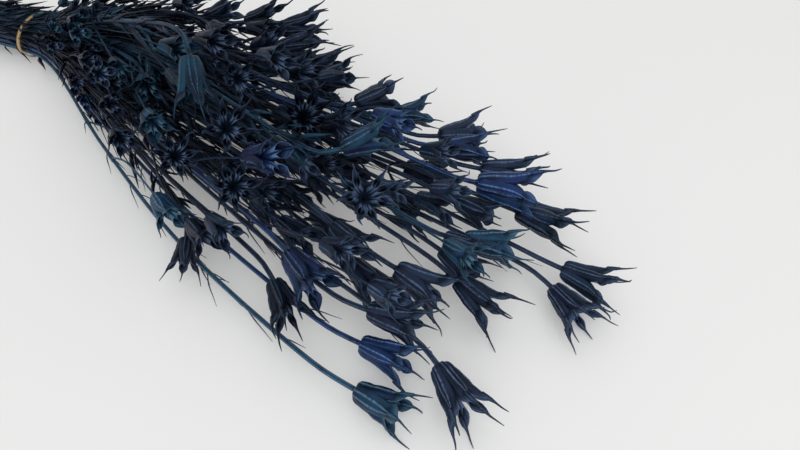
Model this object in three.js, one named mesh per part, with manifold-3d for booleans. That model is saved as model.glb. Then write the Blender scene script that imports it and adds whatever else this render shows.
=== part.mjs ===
// A bunch of dried nigella seed pods, tied with a rubber band and lying on its side.
// Millimetres, +Z up. The origin is under the band on the surface that the bunch rests on,
// and +X runs along the bunch towards the seed heads.
import * as THREE from 'three';
import Module from 'manifold-3d';

const wasm = await Module();
wasm.setup();

// Driving dimensions of the stems
const STEM_RADIUS_AT_BAND = 1.2;
const STEM_RADIUS_FREE = 0.85;
const STEM_RADIUS_AT_HEAD = 1.1;
const FREE_FROM = 70;
const SIDE_STEM_RADIUS = 0.5;
const OUTER_STEM_SIDES = 5;
const INNER_STEM_SIDES = 4;
const SIDE_STEM_SIDES = 3;
const CUT_END = { nearest: 82, furthest: 106 };
const CUT_END_SPREAD = 1.35;
const CUT_END_HEIGHT = 17;

// Driving dimensions of the bundle where the band holds it
const BUNDLE_HEIGHT = 12.4;
const COLUMN_SIZES = [3, 4, 5, 6, 5, 6, 5, 6, 5, 4, 3];
const COLUMN_SPACING = 2.8;
const ROW_SPACING = 3.6;
const STRAIGHT_TO = 9;
const OPENING_LENGTH = 22;

// Driving dimensions of the rubber band. The bunch is laid out from where its stems fan out, which is
// a little behind the band, and each mesh is moved back by that distance when it is finished.
const BAND = { at: 7, width: 3.2, innerHalfWidth: 17, innerHalfHeight: 11.7, thickness: 1.2, points: 36 };

// A seed head at full size: distance from its axis, height above the stem joint, half width
const HEAD = {
  shoulder: { keel: 4.3, keelHeight: 0.3, valley: 3, valleyHeight: 1.6 },
  split: { keel: 8, keelHeight: 12.6, valley: 3.9, valleyHeight: 11.2, centreHeight: 9.4 },
  mouth: { keel: 10.6, keelHeight: 22, inner: 4.7, innerHeight: 16 },
  lip: { out: 8.6, height: 19.8, halfWidth: 1.8 },
  groove: { out: 7.1, height: 16.6 },
  beak: { out: 13.4, height: 30, foot: 10, footHeight: 22.2, footHalfWidth: 0.55 },
};

// How much the follicles of one head differ from each other
const FOLLICLE_RANGE = { place: [-0.07, 0.07], flare: [0.88, 1.1], length: [0.94, 1.06] };

// The round bars that stand for a full-size head when sprays are kept clear of each other
const HEAD_BARS = {
  core: { height: 9.5, radius: 4.3 },
  keel: { foot: [3.1, 1.8], split: [6.8, 12.6], mouth: [9.5, 21], lowRadius: 1.5, highRadius: 1.6 },
  inside: { foot: [2.8, 5], split: [4.7, 12], mouth: [6.8, 18], lowRadius: 1.8, highRadius: 2 },
  beak: { foot: [10, 21.8], radius: 0.8 },
};

// Clearance kept between sprays and from the table
const GAP = 0.25;
const FLOOR_GAP = 0.3;

// How far a spray may stray from its plan to find its place: millimetres, degrees and a share of its size
const HEAD_TRIES = 300;
const LARGEST_SHIFT = 22;
const LARGEST_TURN = 26;
const LARGEST_LIFT = 16;
const LARGEST_DROP = 0.3;
const LARGEST_SHRINK = 0.3;

// The run of a main stem: where it is first free of the band, and the bend under its head
const FIRST_STATION = 30;
const BEND_LENGTH = 24;
const BOW_NEEDING_MORE_STEPS = 3;

// The run of a side stem, in shares of its length and degrees from the main stem
const SIDE_TRIES = 48;
const SIDE_RUN = {
  place: [-0.1, 0.1], length: [0.75, 1.25], leave: [26, 40], arrive: [-8, 30], corner: 0.45,
  size: [0.85, 1.15],
};

// Seeds of the draws, one stream for each try
const SEEDS = { head: 7919, side: 104729, sideOrder: 1009 };

// The sprays, as they fan out from the band. Angles are in degrees.
// [fan angle, reach, height, turn of the head, its pitch, size, follicles, early outward bow, arch]
const SPRAYS = [
  // Long stems whose heads rest on the table at the near edge and at the end
  [-27.5, 336, 0, -9, 0, 0.9, 4, -9, 0],
  [-26.6, 320, 0, -8, -4, 0.98, 5, -7, 2],
  [-22.8, 353, 0, -41, 0, 0.97, 6, -4, 2],
  [-12.6, 368, 0, -38, 0, 0.88, 6, 0, 2],
  [-11.2, 368, 13, -8, -4, 0.93, 6, 0, 8],
  [-24, 318, 22, 6, -6, 0.95, 5, -4, 6],
  [-25.9, 283, 13, -41, -8, 1.0, 6, -5, 3],
  [-25.4, 280, 31, -24, -10, 1.05, 5, -3.5, 8],
  [-19.2, 312, 20, -6, -16, 1.0, 5, 0, 8],
  [-16.5, 332, 18, -18, -12, 1.0, 5, 0, 8],
  [-14, 327, 24, 16, -8, 0.95, 4, 0, 10],
  [-8.5, 338, 20, -4, -4, 1.0, 5, 0, 8],
  [-9.8, 320, 36, 14, -6, 1.1, 5, 0, 14],
  [-6.3, 314, 26, 10, 0, 1.0, 5, 0, 10],
  [-6.8, 292, 32, 18, -2, 0.9, 4, 0, 12],
  [-3.7, 286, 26, 34, -4, 0.95, 4, 0, 10],
  [-6, 266, 30, 28, -4, 0.9, 4, 0, 10],
  [-6.5, 246, 42, 46, 2, 0.85, 4, 0, 14],
  // Heads that stand up out of the mass, and one that hangs from an arching stem
  [-18.4, 288, 44, -52, 50, 1.0, 8, 0, 12],
  [-14, 236, 48, -50, 44, 1.05, 8, 0, 12],
  [-20.7, 211, 46, -38, 44, 0.95, 7, 0, 10],
  [-27, 203, 38, -36, 44, 0.85, 7, -3, 8],
  [-25.3, 241, 40, -38, 46, 0.9, 7, -3.5, 8],
  [-16.5, 272, 58, 30, 20, 0.85, 4, 0, 16],
  [-19.9, 194, 74, -58, -46, 0.95, 4, 0, 6],
  [-14.1, 134, 46, -50, -24, 0.85, 4, 0, 10],
  [-18.5, 148, 44, -50, 10, 0.75, 4, 0, 8],
  [-0.5, 146, 48, -38, 4, 0.95, 5, 0, 8],
  [3.6, 178, 34, 30, 4, 1.0, 6, 2, 8],
  [10, 172, 34, 30, 4, 1.0, 6, 4, 6],
  [-28.8, 224, 12, -60, -14, 0.75, 4, -2, 4],
  // The rest of the mass, low to high
  [-20.5, 292, 0, -26, -4, 0.95, 5, 0, 4],
  [-15.3, 322, 6, -14, -6, 0.92, 5, 0, 4],
  [-11.5, 280, 0, -16, -4, 0.95, 5, 0, 4],
  [-7.5, 276, 0, 0, -4, 0.95, 5, 0, 4],
  [-2.5, 240, 0, 12, 0, 0.95, 5, 0, 4],
  [3, 188, 0, 16, 0, 0.95, 5, 2, 3],
  [12, 156, 0, 34, 0, 0.95, 5, 4, 3],
  [-23.4, 256, 18, -30, -6, 0.9, 5, -2, 6],
  [-12.2, 316, 20, -4, -6, 0.92, 4, 0, 8],
  [-20.8, 284, 30, -24, -6, 0.95, 5, 0, 6],
  [7, 174, 14, 26, 0, 0.95, 5, 3, 4],
  [0, 196, 22, 18, 0, 1.0, 5, 0, 6],
  [-21.5, 236, 30, -20, 10, 0.9, 5, 0, 8],
  [-17, 246, 34, -24, 16, 0.95, 6, 0, 10],
  [-2, 206, 34, 24, 6, 0.95, 6, 0, 10],
  [-10.3, 244, 40, -16, 22, 0.95, 6, 0, 12],
  [-7, 204, 46, -14, 16, 0.95, 6, 0, 12],
  [-11, 186, 48, -34, 20, 0.9, 6, 0, 12],
  [6, 158, 44, 14, 16, 0.9, 6, 2, 8],
  [-23, 162, 36, -50, 24, 0.8, 5, 0, 6],
  [10, 128, 36, 30, 20, 0.85, 5, 3, 6],
];

// So many sprays, from the first of the table, have rounder stems, and so many show the hollows of
// their open follicles
const OUTER_SPRAYS = 18;
const OPEN_HEADS = 25;

// Side stems: where each leaves the main stem, its length, and its head's size and follicles.
// Each kind is tried on one spray in so many, from a first one on.
const SIDE_STEMS = [
  { from: 0.74, length: 50, size: 0.74, follicles: 4, azimuth: [0, 360], first: 1, every: 1 },
  { from: 0.22, length: 34, size: 0.62, follicles: 3, azimuth: [0, 360], first: 0, every: 3 },
  { from: 0.5, length: 52, size: 0.66, follicles: 4, azimuth: [0, 360], first: 0, every: 3 },
  { from: 0.13, length: 24, size: 0.52, follicles: 3, azimuth: [20, 160], first: 0, every: 1 },
  { from: 0.34, length: 30, size: 0.58, follicles: 3, azimuth: [20, 160], first: 2, every: 4 },
];

// Side heads stay inside the fan, between these angles in degrees, and under its top.
// Each edge draws in over a stretch of the fan's reach, from its first angle to its second.
const SIDE_HEAD_FAN = {
  near: [-31, -26], far: [13, -8], drawsInFrom: 190, drawsInTo: 250, top: 60,
};

const radians = THREE.MathUtils.degToRad;
const UP = new THREE.Vector3(0, 0, 1);

// A repeatable stream of draws from 0 to 1
function draws(seed) {
  let state = seed >>> 0;
  return () => {
    state = (state + 0x6d2b79f5) >>> 0;
    let mixed = Math.imul(state ^ (state >>> 15), state | 1);
    mixed = (mixed + Math.imul(mixed ^ (mixed >>> 7), mixed | 61)) ^ mixed;
    return ((mixed ^ (mixed >>> 14)) >>> 0) / 4294967296;
  };
}

function between(draw, low, high) {
  return low + (high - low) * draw();
}

function within(draw, [low, high]) {
  return between(draw, low, high);
}

function heading(turn, pitch) {
  const level = Math.cos(radians(pitch));
  return new THREE.Vector3(
    level * Math.cos(radians(turn)), level * Math.sin(radians(turn)), Math.sin(radians(pitch)));
}

// Two directions square to a heading, for placing points round it
function frameOf(direction) {
  const side = new THREE.Vector3().crossVectors(UP, direction).normalize();
  const top = new THREE.Vector3().crossVectors(direction, side);
  return { direction, side, top };
}

function around(origin, frame, out, angle, height, across = 0) {
  const cos = Math.cos(angle);
  const sin = Math.sin(angle);
  return origin.clone()
    .addScaledVector(frame.side, out * cos - across * sin)
    .addScaledVector(frame.top, out * sin + across * cos)
    .addScaledVector(frame.direction, height);
}

// A closed mesh under construction
class Sketch {
  constructor() {
    this.points = [];
    this.faces = [];
  }

  point(position) {
    this.points.push(position.x, position.y, position.z);
    return this.points.length / 3 - 1;
  }

  face(a, b, c) {
    this.faces.push(a, b, c);
  }

  // Walls between two rings of equal count, from the lower ring to the upper one
  wall(lower, upper) {
    lower.forEach((point, index) => {
      const next = (index + 1) % lower.length;
      this.face(point, lower[next], upper[index]);
      this.face(lower[next], upper[next], upper[index]);
    });
  }

  // A wall between rings of different counts, each point given with its angle
  zip(lower, upper) {
    const turn = 2 * Math.PI;
    const angleAt = (ring, step) => ring[step % ring.length].angle + turn * Math.floor(step / ring.length);
    let low = 0;
    let high = 0;
    while (low < lower.length || high < upper.length) {
      const a = lower[low % lower.length].index;
      const b = upper[high % upper.length].index;
      const lowNext = low < lower.length ? angleAt(lower, low + 1) : Infinity;
      const highNext = high < upper.length ? angleAt(upper, high + 1) : Infinity;
      if (lowNext <= highNext) {
        low += 1;
        this.face(a, lower[low % lower.length].index, b);
      } else {
        high += 1;
        this.face(a, upper[high % upper.length].index, b);
      }
    }
  }

  solid() {
    return new wasm.Manifold(new wasm.Mesh({
      numProp: 3,
      vertProperties: new Float32Array(this.points),
      triVerts: new Uint32Array(this.faces),
    }));
  }
}

// Where each stem passes through the band, as columns from near to far and rows from low to high
function bundleSlots() {
  const middleColumn = (COLUMN_SIZES.length - 1) / 2;
  return COLUMN_SIZES.map((size, column) => Array.from({ length: size }, (_, row) => ({
    y: (column - middleColumn) * COLUMN_SPACING,
    z: BUNDLE_HEIGHT + (row - (size - 1) / 2) * ROW_SPACING,
  })));
}

// Gives the sprays their slots: sorted by departure angle into columns, then by steepness into rows
function plannedSprays() {
  const plans = SPRAYS.map(([angle, reach, height, turn, pitch, size, follicles, bow, arch], index) => (
    { index, angle, reach, height, turn, pitch, size, follicles, bow, arch }));
  const sorted = [...plans].sort((a, b) => (a.angle + a.bow) - (b.angle + b.bow));
  let first = 0;
  bundleSlots().forEach((column) => {
    const members = sorted.slice(first, first + column.length);
    members.sort((a, b) => (a.height + a.arch) / a.reach - (b.height + b.arch) / b.reach);
    members.forEach((plan, row) => { plan.slot = column[row]; });
    first += column.length;
  });
  return plans;
}

// The follicles of one seed head, each a little different in length, flare and place
function follicleShapes(count, draw) {
  return Array.from({ length: count }, (_, index) => ({
    angle: (2 * Math.PI * (index + within(draw, FOLLICLE_RANGE.place))) / count,
    flare: within(draw, FOLLICLE_RANGE.flare),
    length: within(draw, FOLLICLE_RANGE.length),
  }));
}

// A seed head: its place, heading, spin and follicles
function seedHead(base, direction, spin, size, count, draw) {
  const follicles = follicleShapes(count, draw).map((shape) => ({ ...shape, angle: shape.angle + spin }));
  return { base, frame: frameOf(direction), size, follicles };
}

function headPoint(head, out, angle, height, across = 0) {
  return around(head.base, head.frame, out * head.size, angle, height * head.size, across * head.size);
}

// The fused lower half of a head, a ring of keels and valleys
function headRing(sketch, head, level) {
  const count = head.follicles.length;
  const at = (out, angle, height) => ({ angle, index: sketch.point(headPoint(head, out, angle, height)) });
  return head.follicles.flatMap((follicle, index) => {
    const next = head.follicles[(index + 1) % count].angle + (index === count - 1 ? 2 * Math.PI : 0);
    const valley = (follicle.angle + next) / 2;
    return [
      at(level.keel, follicle.angle, level.keelHeight),
      at(level.valley, valley, level.valleyHeight),
    ];
  });
}

// The free upper half of one follicle: its walls, its open mouth and its beak
function addFollicle(sketch, head, follicle, valleyBefore, keel, valleyAfter, centre, grooved) {
  const { mouth, lip, groove, beak } = HEAD;
  const { angle, flare, length } = follicle;
  const at = (out, height, across) => sketch.point(
    headPoint(head, out * flare, angle, height * length, across));
  const before = at(lip.out, lip.height, -lip.halfWidth);
  const outer = at(mouth.keel, mouth.keelHeight, 0);
  const after = at(lip.out, lip.height, lip.halfWidth);
  const inner = at(mouth.inner, mouth.innerHeight, 0);
  sketch.wall([valleyBefore, keel, valleyAfter, centre], [before, outer, after, inner]);
  const tip = sketch.point(beakTip(head, follicle));
  if (!grooved) {
    sketch.face(before, outer, tip);
    sketch.face(outer, after, tip);
    sketch.face(after, before, tip);
    sketch.face(before, after, inner);
    return;
  }
  const footBefore = at(beak.foot, beak.footHeight, -beak.footHalfWidth);
  const footAfter = at(beak.foot, beak.footHeight, beak.footHalfWidth);
  sketch.face(before, outer, footBefore);
  sketch.face(outer, after, footAfter);
  sketch.face(footBefore, outer, tip);
  sketch.face(outer, footAfter, tip);
  sketch.face(footAfter, footBefore, tip);
  const mouthEdge = [before, footBefore, footAfter, after, inner];
  const low = at(groove.out, groove.height, 0);
  mouthEdge.forEach((point, index) => sketch.face(point, mouthEdge[(index + 1) % mouthEdge.length], low));
}

function beakTip(head, follicle) {
  const { beak } = HEAD;
  return headPoint(head, beak.out * follicle.flare, follicle.angle, beak.height * follicle.length);
}

// Sorts a ring's points so that their angles start at the smallest one within a turn
function fromSmallestAngle(ring) {
  const turn = 2 * Math.PI;
  return ring
    .map((entry) => ({ ...entry, angle: ((entry.angle % turn) + turn) % turn }))
    .sort((a, b) => a.angle - b.angle);
}

// A stem along a path, with its seed head grown on its end
function stemWithHead(path, radii, sides, head, grooved) {
  const sketch = new Sketch();
  const rings = path.map((position, step) => {
    const before = path[Math.max(step - 1, 0)];
    const after = path[Math.min(step + 1, path.length - 1)];
    const atHead = step === path.length - 1;
    const frame = atHead ? head.frame : frameOf(after.clone().sub(before).normalize());
    return Array.from({ length: sides }, (_, side) => {
      const angle = (2 * Math.PI * side) / sides;
      return { angle, index: sketch.point(around(position, frame, radii[step], angle, 0)) };
    });
  });
  const indices = (ring) => ring.map((entry) => entry.index);
  for (let step = 1; step < rings.length; step += 1) {
    sketch.wall(indices(rings[step - 1]), indices(rings[step]));
  }
  const end = sketch.point(path[0]);
  rings[0].forEach((entry, side) => sketch.face(end, rings[0][(side + 1) % sides].index, entry.index));
  const shoulder = headRing(sketch, head, HEAD.shoulder);
  sketch.zip(rings.at(-1), fromSmallestAngle(shoulder));
  const split = headRing(sketch, head, HEAD.split);
  sketch.wall(indices(shoulder), indices(split));
  const centre = sketch.point(headPoint(head, 0, 0, HEAD.split.centreHeight));
  head.follicles.forEach((follicle, index) => {
    const keel = 2 * index;
    const before = (keel + split.length - 1) % split.length;
    addFollicle(
      sketch, head, follicle, split[before].index, split[keel].index, split[keel + 1].index, centre, grooved);
  });
  return sketch.solid();
}

// The round bars that stand for a stem, when sprays are kept clear of each other
function stemBars(path, radii) {
  return path.slice(1).map((to, step) => (
    { from: path[step], to, radius: Math.max(radii[step], radii[step + 1]) }));
}

// The round bars that stand for a seed head
function headBars(head) {
  const { core, keel, inside, beak } = HEAD_BARS;
  const bar = (from, to, radius) => ({ from, to, radius: radius * head.size });
  const bars = [bar(headPoint(head, 0, 0, 0), headPoint(head, 0, 0, core.height), core.radius)];
  head.follicles.forEach((follicle) => {
    const fused = ([out, height]) => headPoint(head, out, follicle.angle, height);
    const free = ([out, height]) => (
      headPoint(head, out * follicle.flare, follicle.angle, height * follicle.length));
    [keel, inside].forEach((line) => {
      bars.push(bar(fused(line.foot), fused(line.split), line.lowRadius));
      bars.push(bar(fused(line.split), free(line.mouth), line.highRadius));
    });
    bars.push(bar(free(beak.foot), beakTip(head, follicle), beak.radius));
  });
  return bars;
}

// The shortest distance between two straight lines with ends
function lineDistance(a, b, c, d) {
  const first = b.clone().sub(a);
  const second = d.clone().sub(c);
  const offset = a.clone().sub(c);
  const firstLength = first.dot(first);
  const secondLength = second.dot(second);
  const along = second.dot(offset);
  const cross = first.dot(second);
  const start = first.dot(offset);
  const spread = firstLength * secondLength - cross * cross;
  const clamp = (value) => Math.min(1, Math.max(0, value));
  let onFirst = spread > 1e-9 ? clamp((cross * along - start * secondLength) / spread) : 0;
  let onSecond = (cross * onFirst + along) / secondLength;
  if (onSecond < 0 || onSecond > 1) {
    onSecond = clamp(onSecond);
    onFirst = clamp((cross * onSecond - start) / firstLength);
  }
  return a.clone().addScaledVector(first, onFirst).distanceTo(c.clone().addScaledVector(second, onSecond));
}

// Everything placed so far, in groups of bars with a sphere round each
class Placed {
  constructor() {
    this.groups = [];
  }

  static group(owner, bars) {
    const box = new THREE.Box3();
    bars.forEach(({ from, to }) => box.expandByPoint(from).expandByPoint(to));
    const sphere = box.getBoundingSphere(new THREE.Sphere());
    sphere.radius += Math.max(...bars.map((bar) => bar.radius));
    return { owner, bars, sphere };
  }

  add(group) {
    this.groups.push(group);
  }

  // True when the group keeps its distance from all others but those to ignore
  isClear(group, ignore = () => false) {
    return this.groups.every((other) => {
      if (ignore(other)) return true;
      const reach = other.sphere.radius + group.sphere.radius + GAP;
      if (other.sphere.center.distanceTo(group.sphere.center) > reach) return true;
      return group.bars.every((bar) => other.bars.every((wall) => (
        lineDistance(bar.from, bar.to, wall.from, wall.to) >= bar.radius + wall.radius + GAP)));
    });
  }
}

// How far a stem has left its slot for its own direction, from 0 at the band to 1 at its end
function opening(along, length) {
  const run = length - STRAIGHT_TO;
  const ease = OPENING_LENGTH / run;
  const eased = (share) => share - ease * (1 - Math.exp(-share / ease));
  return eased((along - STRAIGHT_TO) / run) / eased(1);
}

// A point of a main stem's run from its slot to its aim, which is just under the head
function stemPoint(plan, aim, along) {
  const share = opening(along, aim.x);
  const endSlope = aim.y / aim.x;
  const bowSlope = Math.tan(radians(plan.angle + plan.bow)) - Math.tan(radians(plan.angle));
  return new THREE.Vector3(
    along,
    plan.slot.y * (1 - share) + aim.x * (endSlope * share + bowSlope * share * (1 - share)),
    plan.slot.z * (1 - share) + aim.z * share + 4 * plan.arch * share * (1 - share));
}

function bend(start, corner, end, share) {
  return start.clone().multiplyScalar((1 - share) ** 2)
    .addScaledVector(corner, 2 * share * (1 - share))
    .addScaledVector(end, share ** 2);
}

// The main stem's path, from its cut end to the head that it carries
function mainPath(plan, head) {
  const aim = head.base.clone().addScaledVector(head.frame.direction, -BEND_LENGTH / 2);
  const bendStart = aim.x - (BEND_LENGTH / 2) * Math.cos(radians(plan.angle));
  const draw = draws(plan.index + 1);
  const cutAt = -between(draw, CUT_END.nearest, CUT_END.furthest);
  const cutHeight = CUT_END_HEIGHT + (plan.slot.z - BUNDLE_HEIGHT);
  const steps = Math.abs(plan.bow) > BOW_NEEDING_MORE_STEPS ? 3 : 2;
  const stations = [STRAIGHT_TO, ...Array.from({ length: steps + 1 }, (_, step) => (
    THREE.MathUtils.lerp(FIRST_STATION, bendStart, step / steps)))];
  const run = stations.map((along) => stemPoint(plan, aim, along));
  const start = run.at(-1);
  return [
    new THREE.Vector3(cutAt, plan.slot.y * CUT_END_SPREAD, cutHeight),
    ...run,
    bend(start, aim, head.base, 0.5),
    head.base,
  ];
}

// A stem is thinnest where it comes free of the bundle, and swells again towards its head
function mainRadii(path) {
  const end = path.at(-1).x;
  const { clamp, lerp } = THREE.MathUtils;
  return path.map((point) => (point.x < FREE_FROM
    ? lerp(STEM_RADIUS_AT_BAND, STEM_RADIUS_FREE, clamp(point.x / FREE_FROM, 0, 1))
    : lerp(STEM_RADIUS_FREE, STEM_RADIUS_AT_HEAD, (point.x - FREE_FROM) / (end - FREE_FROM))));
}

// The lowest point of a head, over its keels, lips and beaks
function lowestOf(head) {
  const { shoulder, split, mouth, lip } = HEAD;
  return Math.min(...head.follicles.flatMap((follicle) => {
    const at = (out, height, across) => (
      headPoint(head, out * follicle.flare, follicle.angle, height * follicle.length, across).z);
    return [
      headPoint(head, shoulder.keel, follicle.angle, shoulder.keelHeight).z,
      headPoint(head, split.keel, follicle.angle, split.keelHeight).z,
      at(mouth.keel, mouth.keelHeight, 0),
      at(lip.out, lip.height, lip.halfWidth),
      at(lip.out, lip.height, -lip.halfWidth),
      beakTip(head, follicle).z,
    ];
  }));
}

// One try at a spray's head. Later tries stray further from the plan, upwards most of all.
function headTry(plan, attempt) {
  const draw = draws(SEEDS.head * (plan.index + 1) + attempt);
  const strayed = attempt / HEAD_TRIES;
  const stray = (largest) => between(draw, -largest, largest) * strayed;
  const direction = heading(plan.turn + stray(LARGEST_TURN), plan.pitch + stray(LARGEST_TURN));
  const spin = between(draw, 0, 2 * Math.PI);
  const base = new THREE.Vector3(
    plan.reach * Math.cos(radians(plan.angle)) + stray(LARGEST_SHIFT),
    plan.reach * Math.sin(radians(plan.angle)) + stray(LARGEST_SHIFT),
    plan.height + between(draw, -LARGEST_DROP, 1) * LARGEST_LIFT * strayed);
  const size = plan.size * (1 - LARGEST_SHRINK * strayed);
  const head = seedHead(base, direction, spin, size, plan.follicles, draw);
  const lowest = lowestOf(head);
  if (plan.height === 0) head.base.z -= lowest;
  else if (lowest < FLOOR_GAP) head.base.z += FLOOR_GAP - lowest;
  return head;
}

function staysAboveFloor(path, radii) {
  return path.every((point, step) => point.z >= radii[step] + FLOOR_GAP);
}

// Finds the first try at a main stem and its head that is clear of all sprays placed before
function placeMain(plan, placed) {
  for (let attempt = 0; attempt < HEAD_TRIES; attempt += 1) {
    const head = headTry(plan, attempt);
    const path = mainPath(plan, head);
    const radii = mainRadii(path);
    const bars = stemBars(path, radii);
    const headGroup = Placed.group('head', headBars(head));
    const stemGroups = bars.map((bar) => Placed.group(plan, [bar]));
    const stemsAreClear = () => stemGroups.every((group) => placed.isClear(group));
    if (staysAboveFloor(path, radii) && placed.isClear(headGroup) && stemsAreClear()) {
      placed.add(headGroup);
      stemGroups.forEach((group) => placed.add(group));
      return { plan, head, path, radii, sides: [] };
    }
  }
  return null;
}

// A point part way along a path, and the path's heading there
function alongPath(path, share) {
  const lengths = path.slice(1).map((point, step) => point.distanceTo(path[step]));
  let left = share * lengths.reduce((sum, length) => sum + length, 0);
  const step = lengths.findIndex((length) => {
    if (left <= length) return true;
    left -= length;
    return false;
  });
  const direction = path[step + 1].clone().sub(path[step]).normalize();
  return { point: path[step].clone().addScaledVector(direction, left), direction };
}

// One try at a side stem and its head
function sideTry(spray, side, order, attempt) {
  const draw = draws(SEEDS.side * (spray.plan.index + 1) + SEEDS.sideOrder * order + attempt);
  const start = alongPath(spray.path.slice(1), side.from + within(draw, SIDE_RUN.place));
  const frame = frameOf(start.direction);
  const azimuth = radians(within(draw, side.azimuth));
  const length = side.length * within(draw, SIDE_RUN.length);
  const leaning = (degrees) => around(
    new THREE.Vector3(), frame, Math.sin(radians(degrees)), azimuth, Math.cos(radians(degrees)));
  const leaving = leaning(within(draw, SIDE_RUN.leave));
  const corner = start.point.clone().addScaledVector(leaving, length * SIDE_RUN.corner);
  const direction = leaning(within(draw, SIDE_RUN.arrive));
  const base = corner.clone().addScaledVector(direction, length * (1 - SIDE_RUN.corner));
  const size = side.size * within(draw, SIDE_RUN.size);
  const head = seedHead(base, direction, between(draw, 0, 2 * Math.PI), size, side.follicles, draw);
  return { path: [start.point, bend(start.point, corner, base, 0.5), base], head };
}

function isInFan(head) {
  const { near, far, drawsInFrom, drawsInTo, top } = SIDE_HEAD_FAN;
  const drawnIn = THREE.MathUtils.smoothstep(head.base.x, drawsInFrom, drawsInTo);
  const edge = ([first, second]) => THREE.MathUtils.lerp(first, second, drawnIn);
  const angle = THREE.MathUtils.radToDeg(Math.atan2(head.base.y, head.base.x));
  return angle > edge(near) && angle < edge(far) && head.base.z < top;
}

// Adds a side stem where it is clear of everything, or leaves it out
function placeSide(spray, side, order, placed) {
  for (let attempt = 0; attempt < SIDE_TRIES; attempt += 1) {
    const { path, head } = sideTry(spray, side, order, attempt);
    const radii = path.map(() => SIDE_STEM_RADIUS);
    const headGroup = Placed.group('head', headBars(head));
    const stemGroups = stemBars(path, radii).map((bar) => Placed.group(spray.plan, [bar]));
    const ownStem = (other) => other.owner === spray.plan;
    const aboveFloor = staysAboveFloor(path, radii) && lowestOf(head) >= FLOOR_GAP;
    const stemsAreClear = () => stemGroups.every((group) => placed.isClear(group, ownStem));
    if (aboveFloor && isInFan(head) && placed.isClear(headGroup) && stemsAreClear()) {
      placed.add(headGroup);
      stemGroups.forEach((group) => placed.add(group));
      spray.sides.push({ path, radii, head });
      return;
    }
  }
}

function geometryOf(solid) {
  const mesh = solid.getMesh();
  const geometry = new THREE.BufferGeometry();
  geometry.setAttribute('position', new THREE.Float32BufferAttribute(mesh.vertProperties, mesh.numProp));
  geometry.setIndex(new THREE.Uint32BufferAttribute(mesh.triVerts, 1));
  geometry.translate(-BAND.at, 0, 0);
  geometry.computeVertexNormals();
  return geometry;
}

// Joins a spray's main stem and side stems into one solid
function spraySolid(spray) {
  const sides = spray.plan.index < OUTER_SPRAYS ? OUTER_STEM_SIDES : INNER_STEM_SIDES;
  const open = spray.plan.index < OPEN_HEADS;
  const main = stemWithHead(spray.path, spray.radii, sides, spray.head, open);
  return spray.sides.reduce((solid, side) => solid.add(
    stemWithHead(side.path, side.radii, SIDE_STEM_SIDES, side.head, false)), main);
}

// The rubber band, an oval ring with a flat spot where it rests
function bandGeometry() {
  const { at, width, innerHalfWidth, innerHalfHeight, thickness, points } = BAND;
  const oval = (halfWidth, halfHeight) => Array.from({ length: points }, (_, index) => {
    const angle = (2 * Math.PI * (index + 0.5)) / points;
    return { y: halfWidth * Math.cos(angle), z: BUNDLE_HEIGHT + halfHeight * Math.sin(angle) };
  });
  const inner = oval(innerHalfWidth, innerHalfHeight);
  const outer = oval(innerHalfWidth + thickness, innerHalfHeight + thickness)
    .map(({ y, z }) => ({ y, z: Math.max(z, 0) }));
  const sketch = new Sketch();
  const ring = (loop, x) => loop.map(({ y, z }) => sketch.point(new THREE.Vector3(at + x, y, z)));
  const outerBack = ring(outer, -width / 2);
  const outerFront = ring(outer, width / 2);
  const innerBack = ring(inner, -width / 2);
  const innerFront = ring(inner, width / 2);
  sketch.wall(outerBack, outerFront);
  sketch.wall(outerFront, innerFront);
  sketch.wall(innerFront, innerBack);
  sketch.wall(innerBack, outerBack);
  return geometryOf(sketch.solid());
}

const NAVY = new THREE.MeshStandardMaterial({ color: 0x161b33, roughness: 0.55, metalness: 0 });
const TAN = new THREE.MeshStandardMaterial({ color: 0xb79a68, roughness: 0.6, metalness: 0 });

function namedMesh(name, geometry, material) {
  const mesh = new THREE.Mesh(geometry, material);
  mesh.name = name;
  return mesh;
}

// The sprays are laid in their listed order, and then the side stems are added
function placedSprays() {
  const placed = new Placed();
  const sprays = plannedSprays().map((plan) => placeMain(plan, placed)).filter(Boolean);
  SIDE_STEMS.forEach((side, order) => sprays
    .filter(({ plan }) => plan.index >= side.first && (plan.index - side.first) % side.every === 0)
    .forEach((spray) => placeSide(spray, side, order, placed)));
  return sprays;
}

function bunch() {
  const group = new THREE.Group();
  placedSprays().forEach((spray) => {
    const name = `spray_${String(spray.plan.index + 1).padStart(2, '0')}`;
    group.add(namedMesh(name, geometryOf(spraySolid(spray)), NAVY));
  });
  group.add(namedMesh('rubber_band', bandGeometry(), TAN));
  return group;
}

export default bunch();
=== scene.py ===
"""A tied bunch of dried, dyed nigella seed pods lying on its side, dressed for the render.

Sizes are in millimetres until a mesh is made, and the row frame is in metres. Each spray is placed
by the same seeded draws as its solid, so that every stem and seed head lies where the solid has it.
"""

import logging
import math
from collections.abc import Callable, Sequence
from dataclasses import dataclass, field
from enum import Enum
from functools import cached_property

import bpy
import numpy as np
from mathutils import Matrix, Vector
from mathutils.kdtree import KDTree


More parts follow.
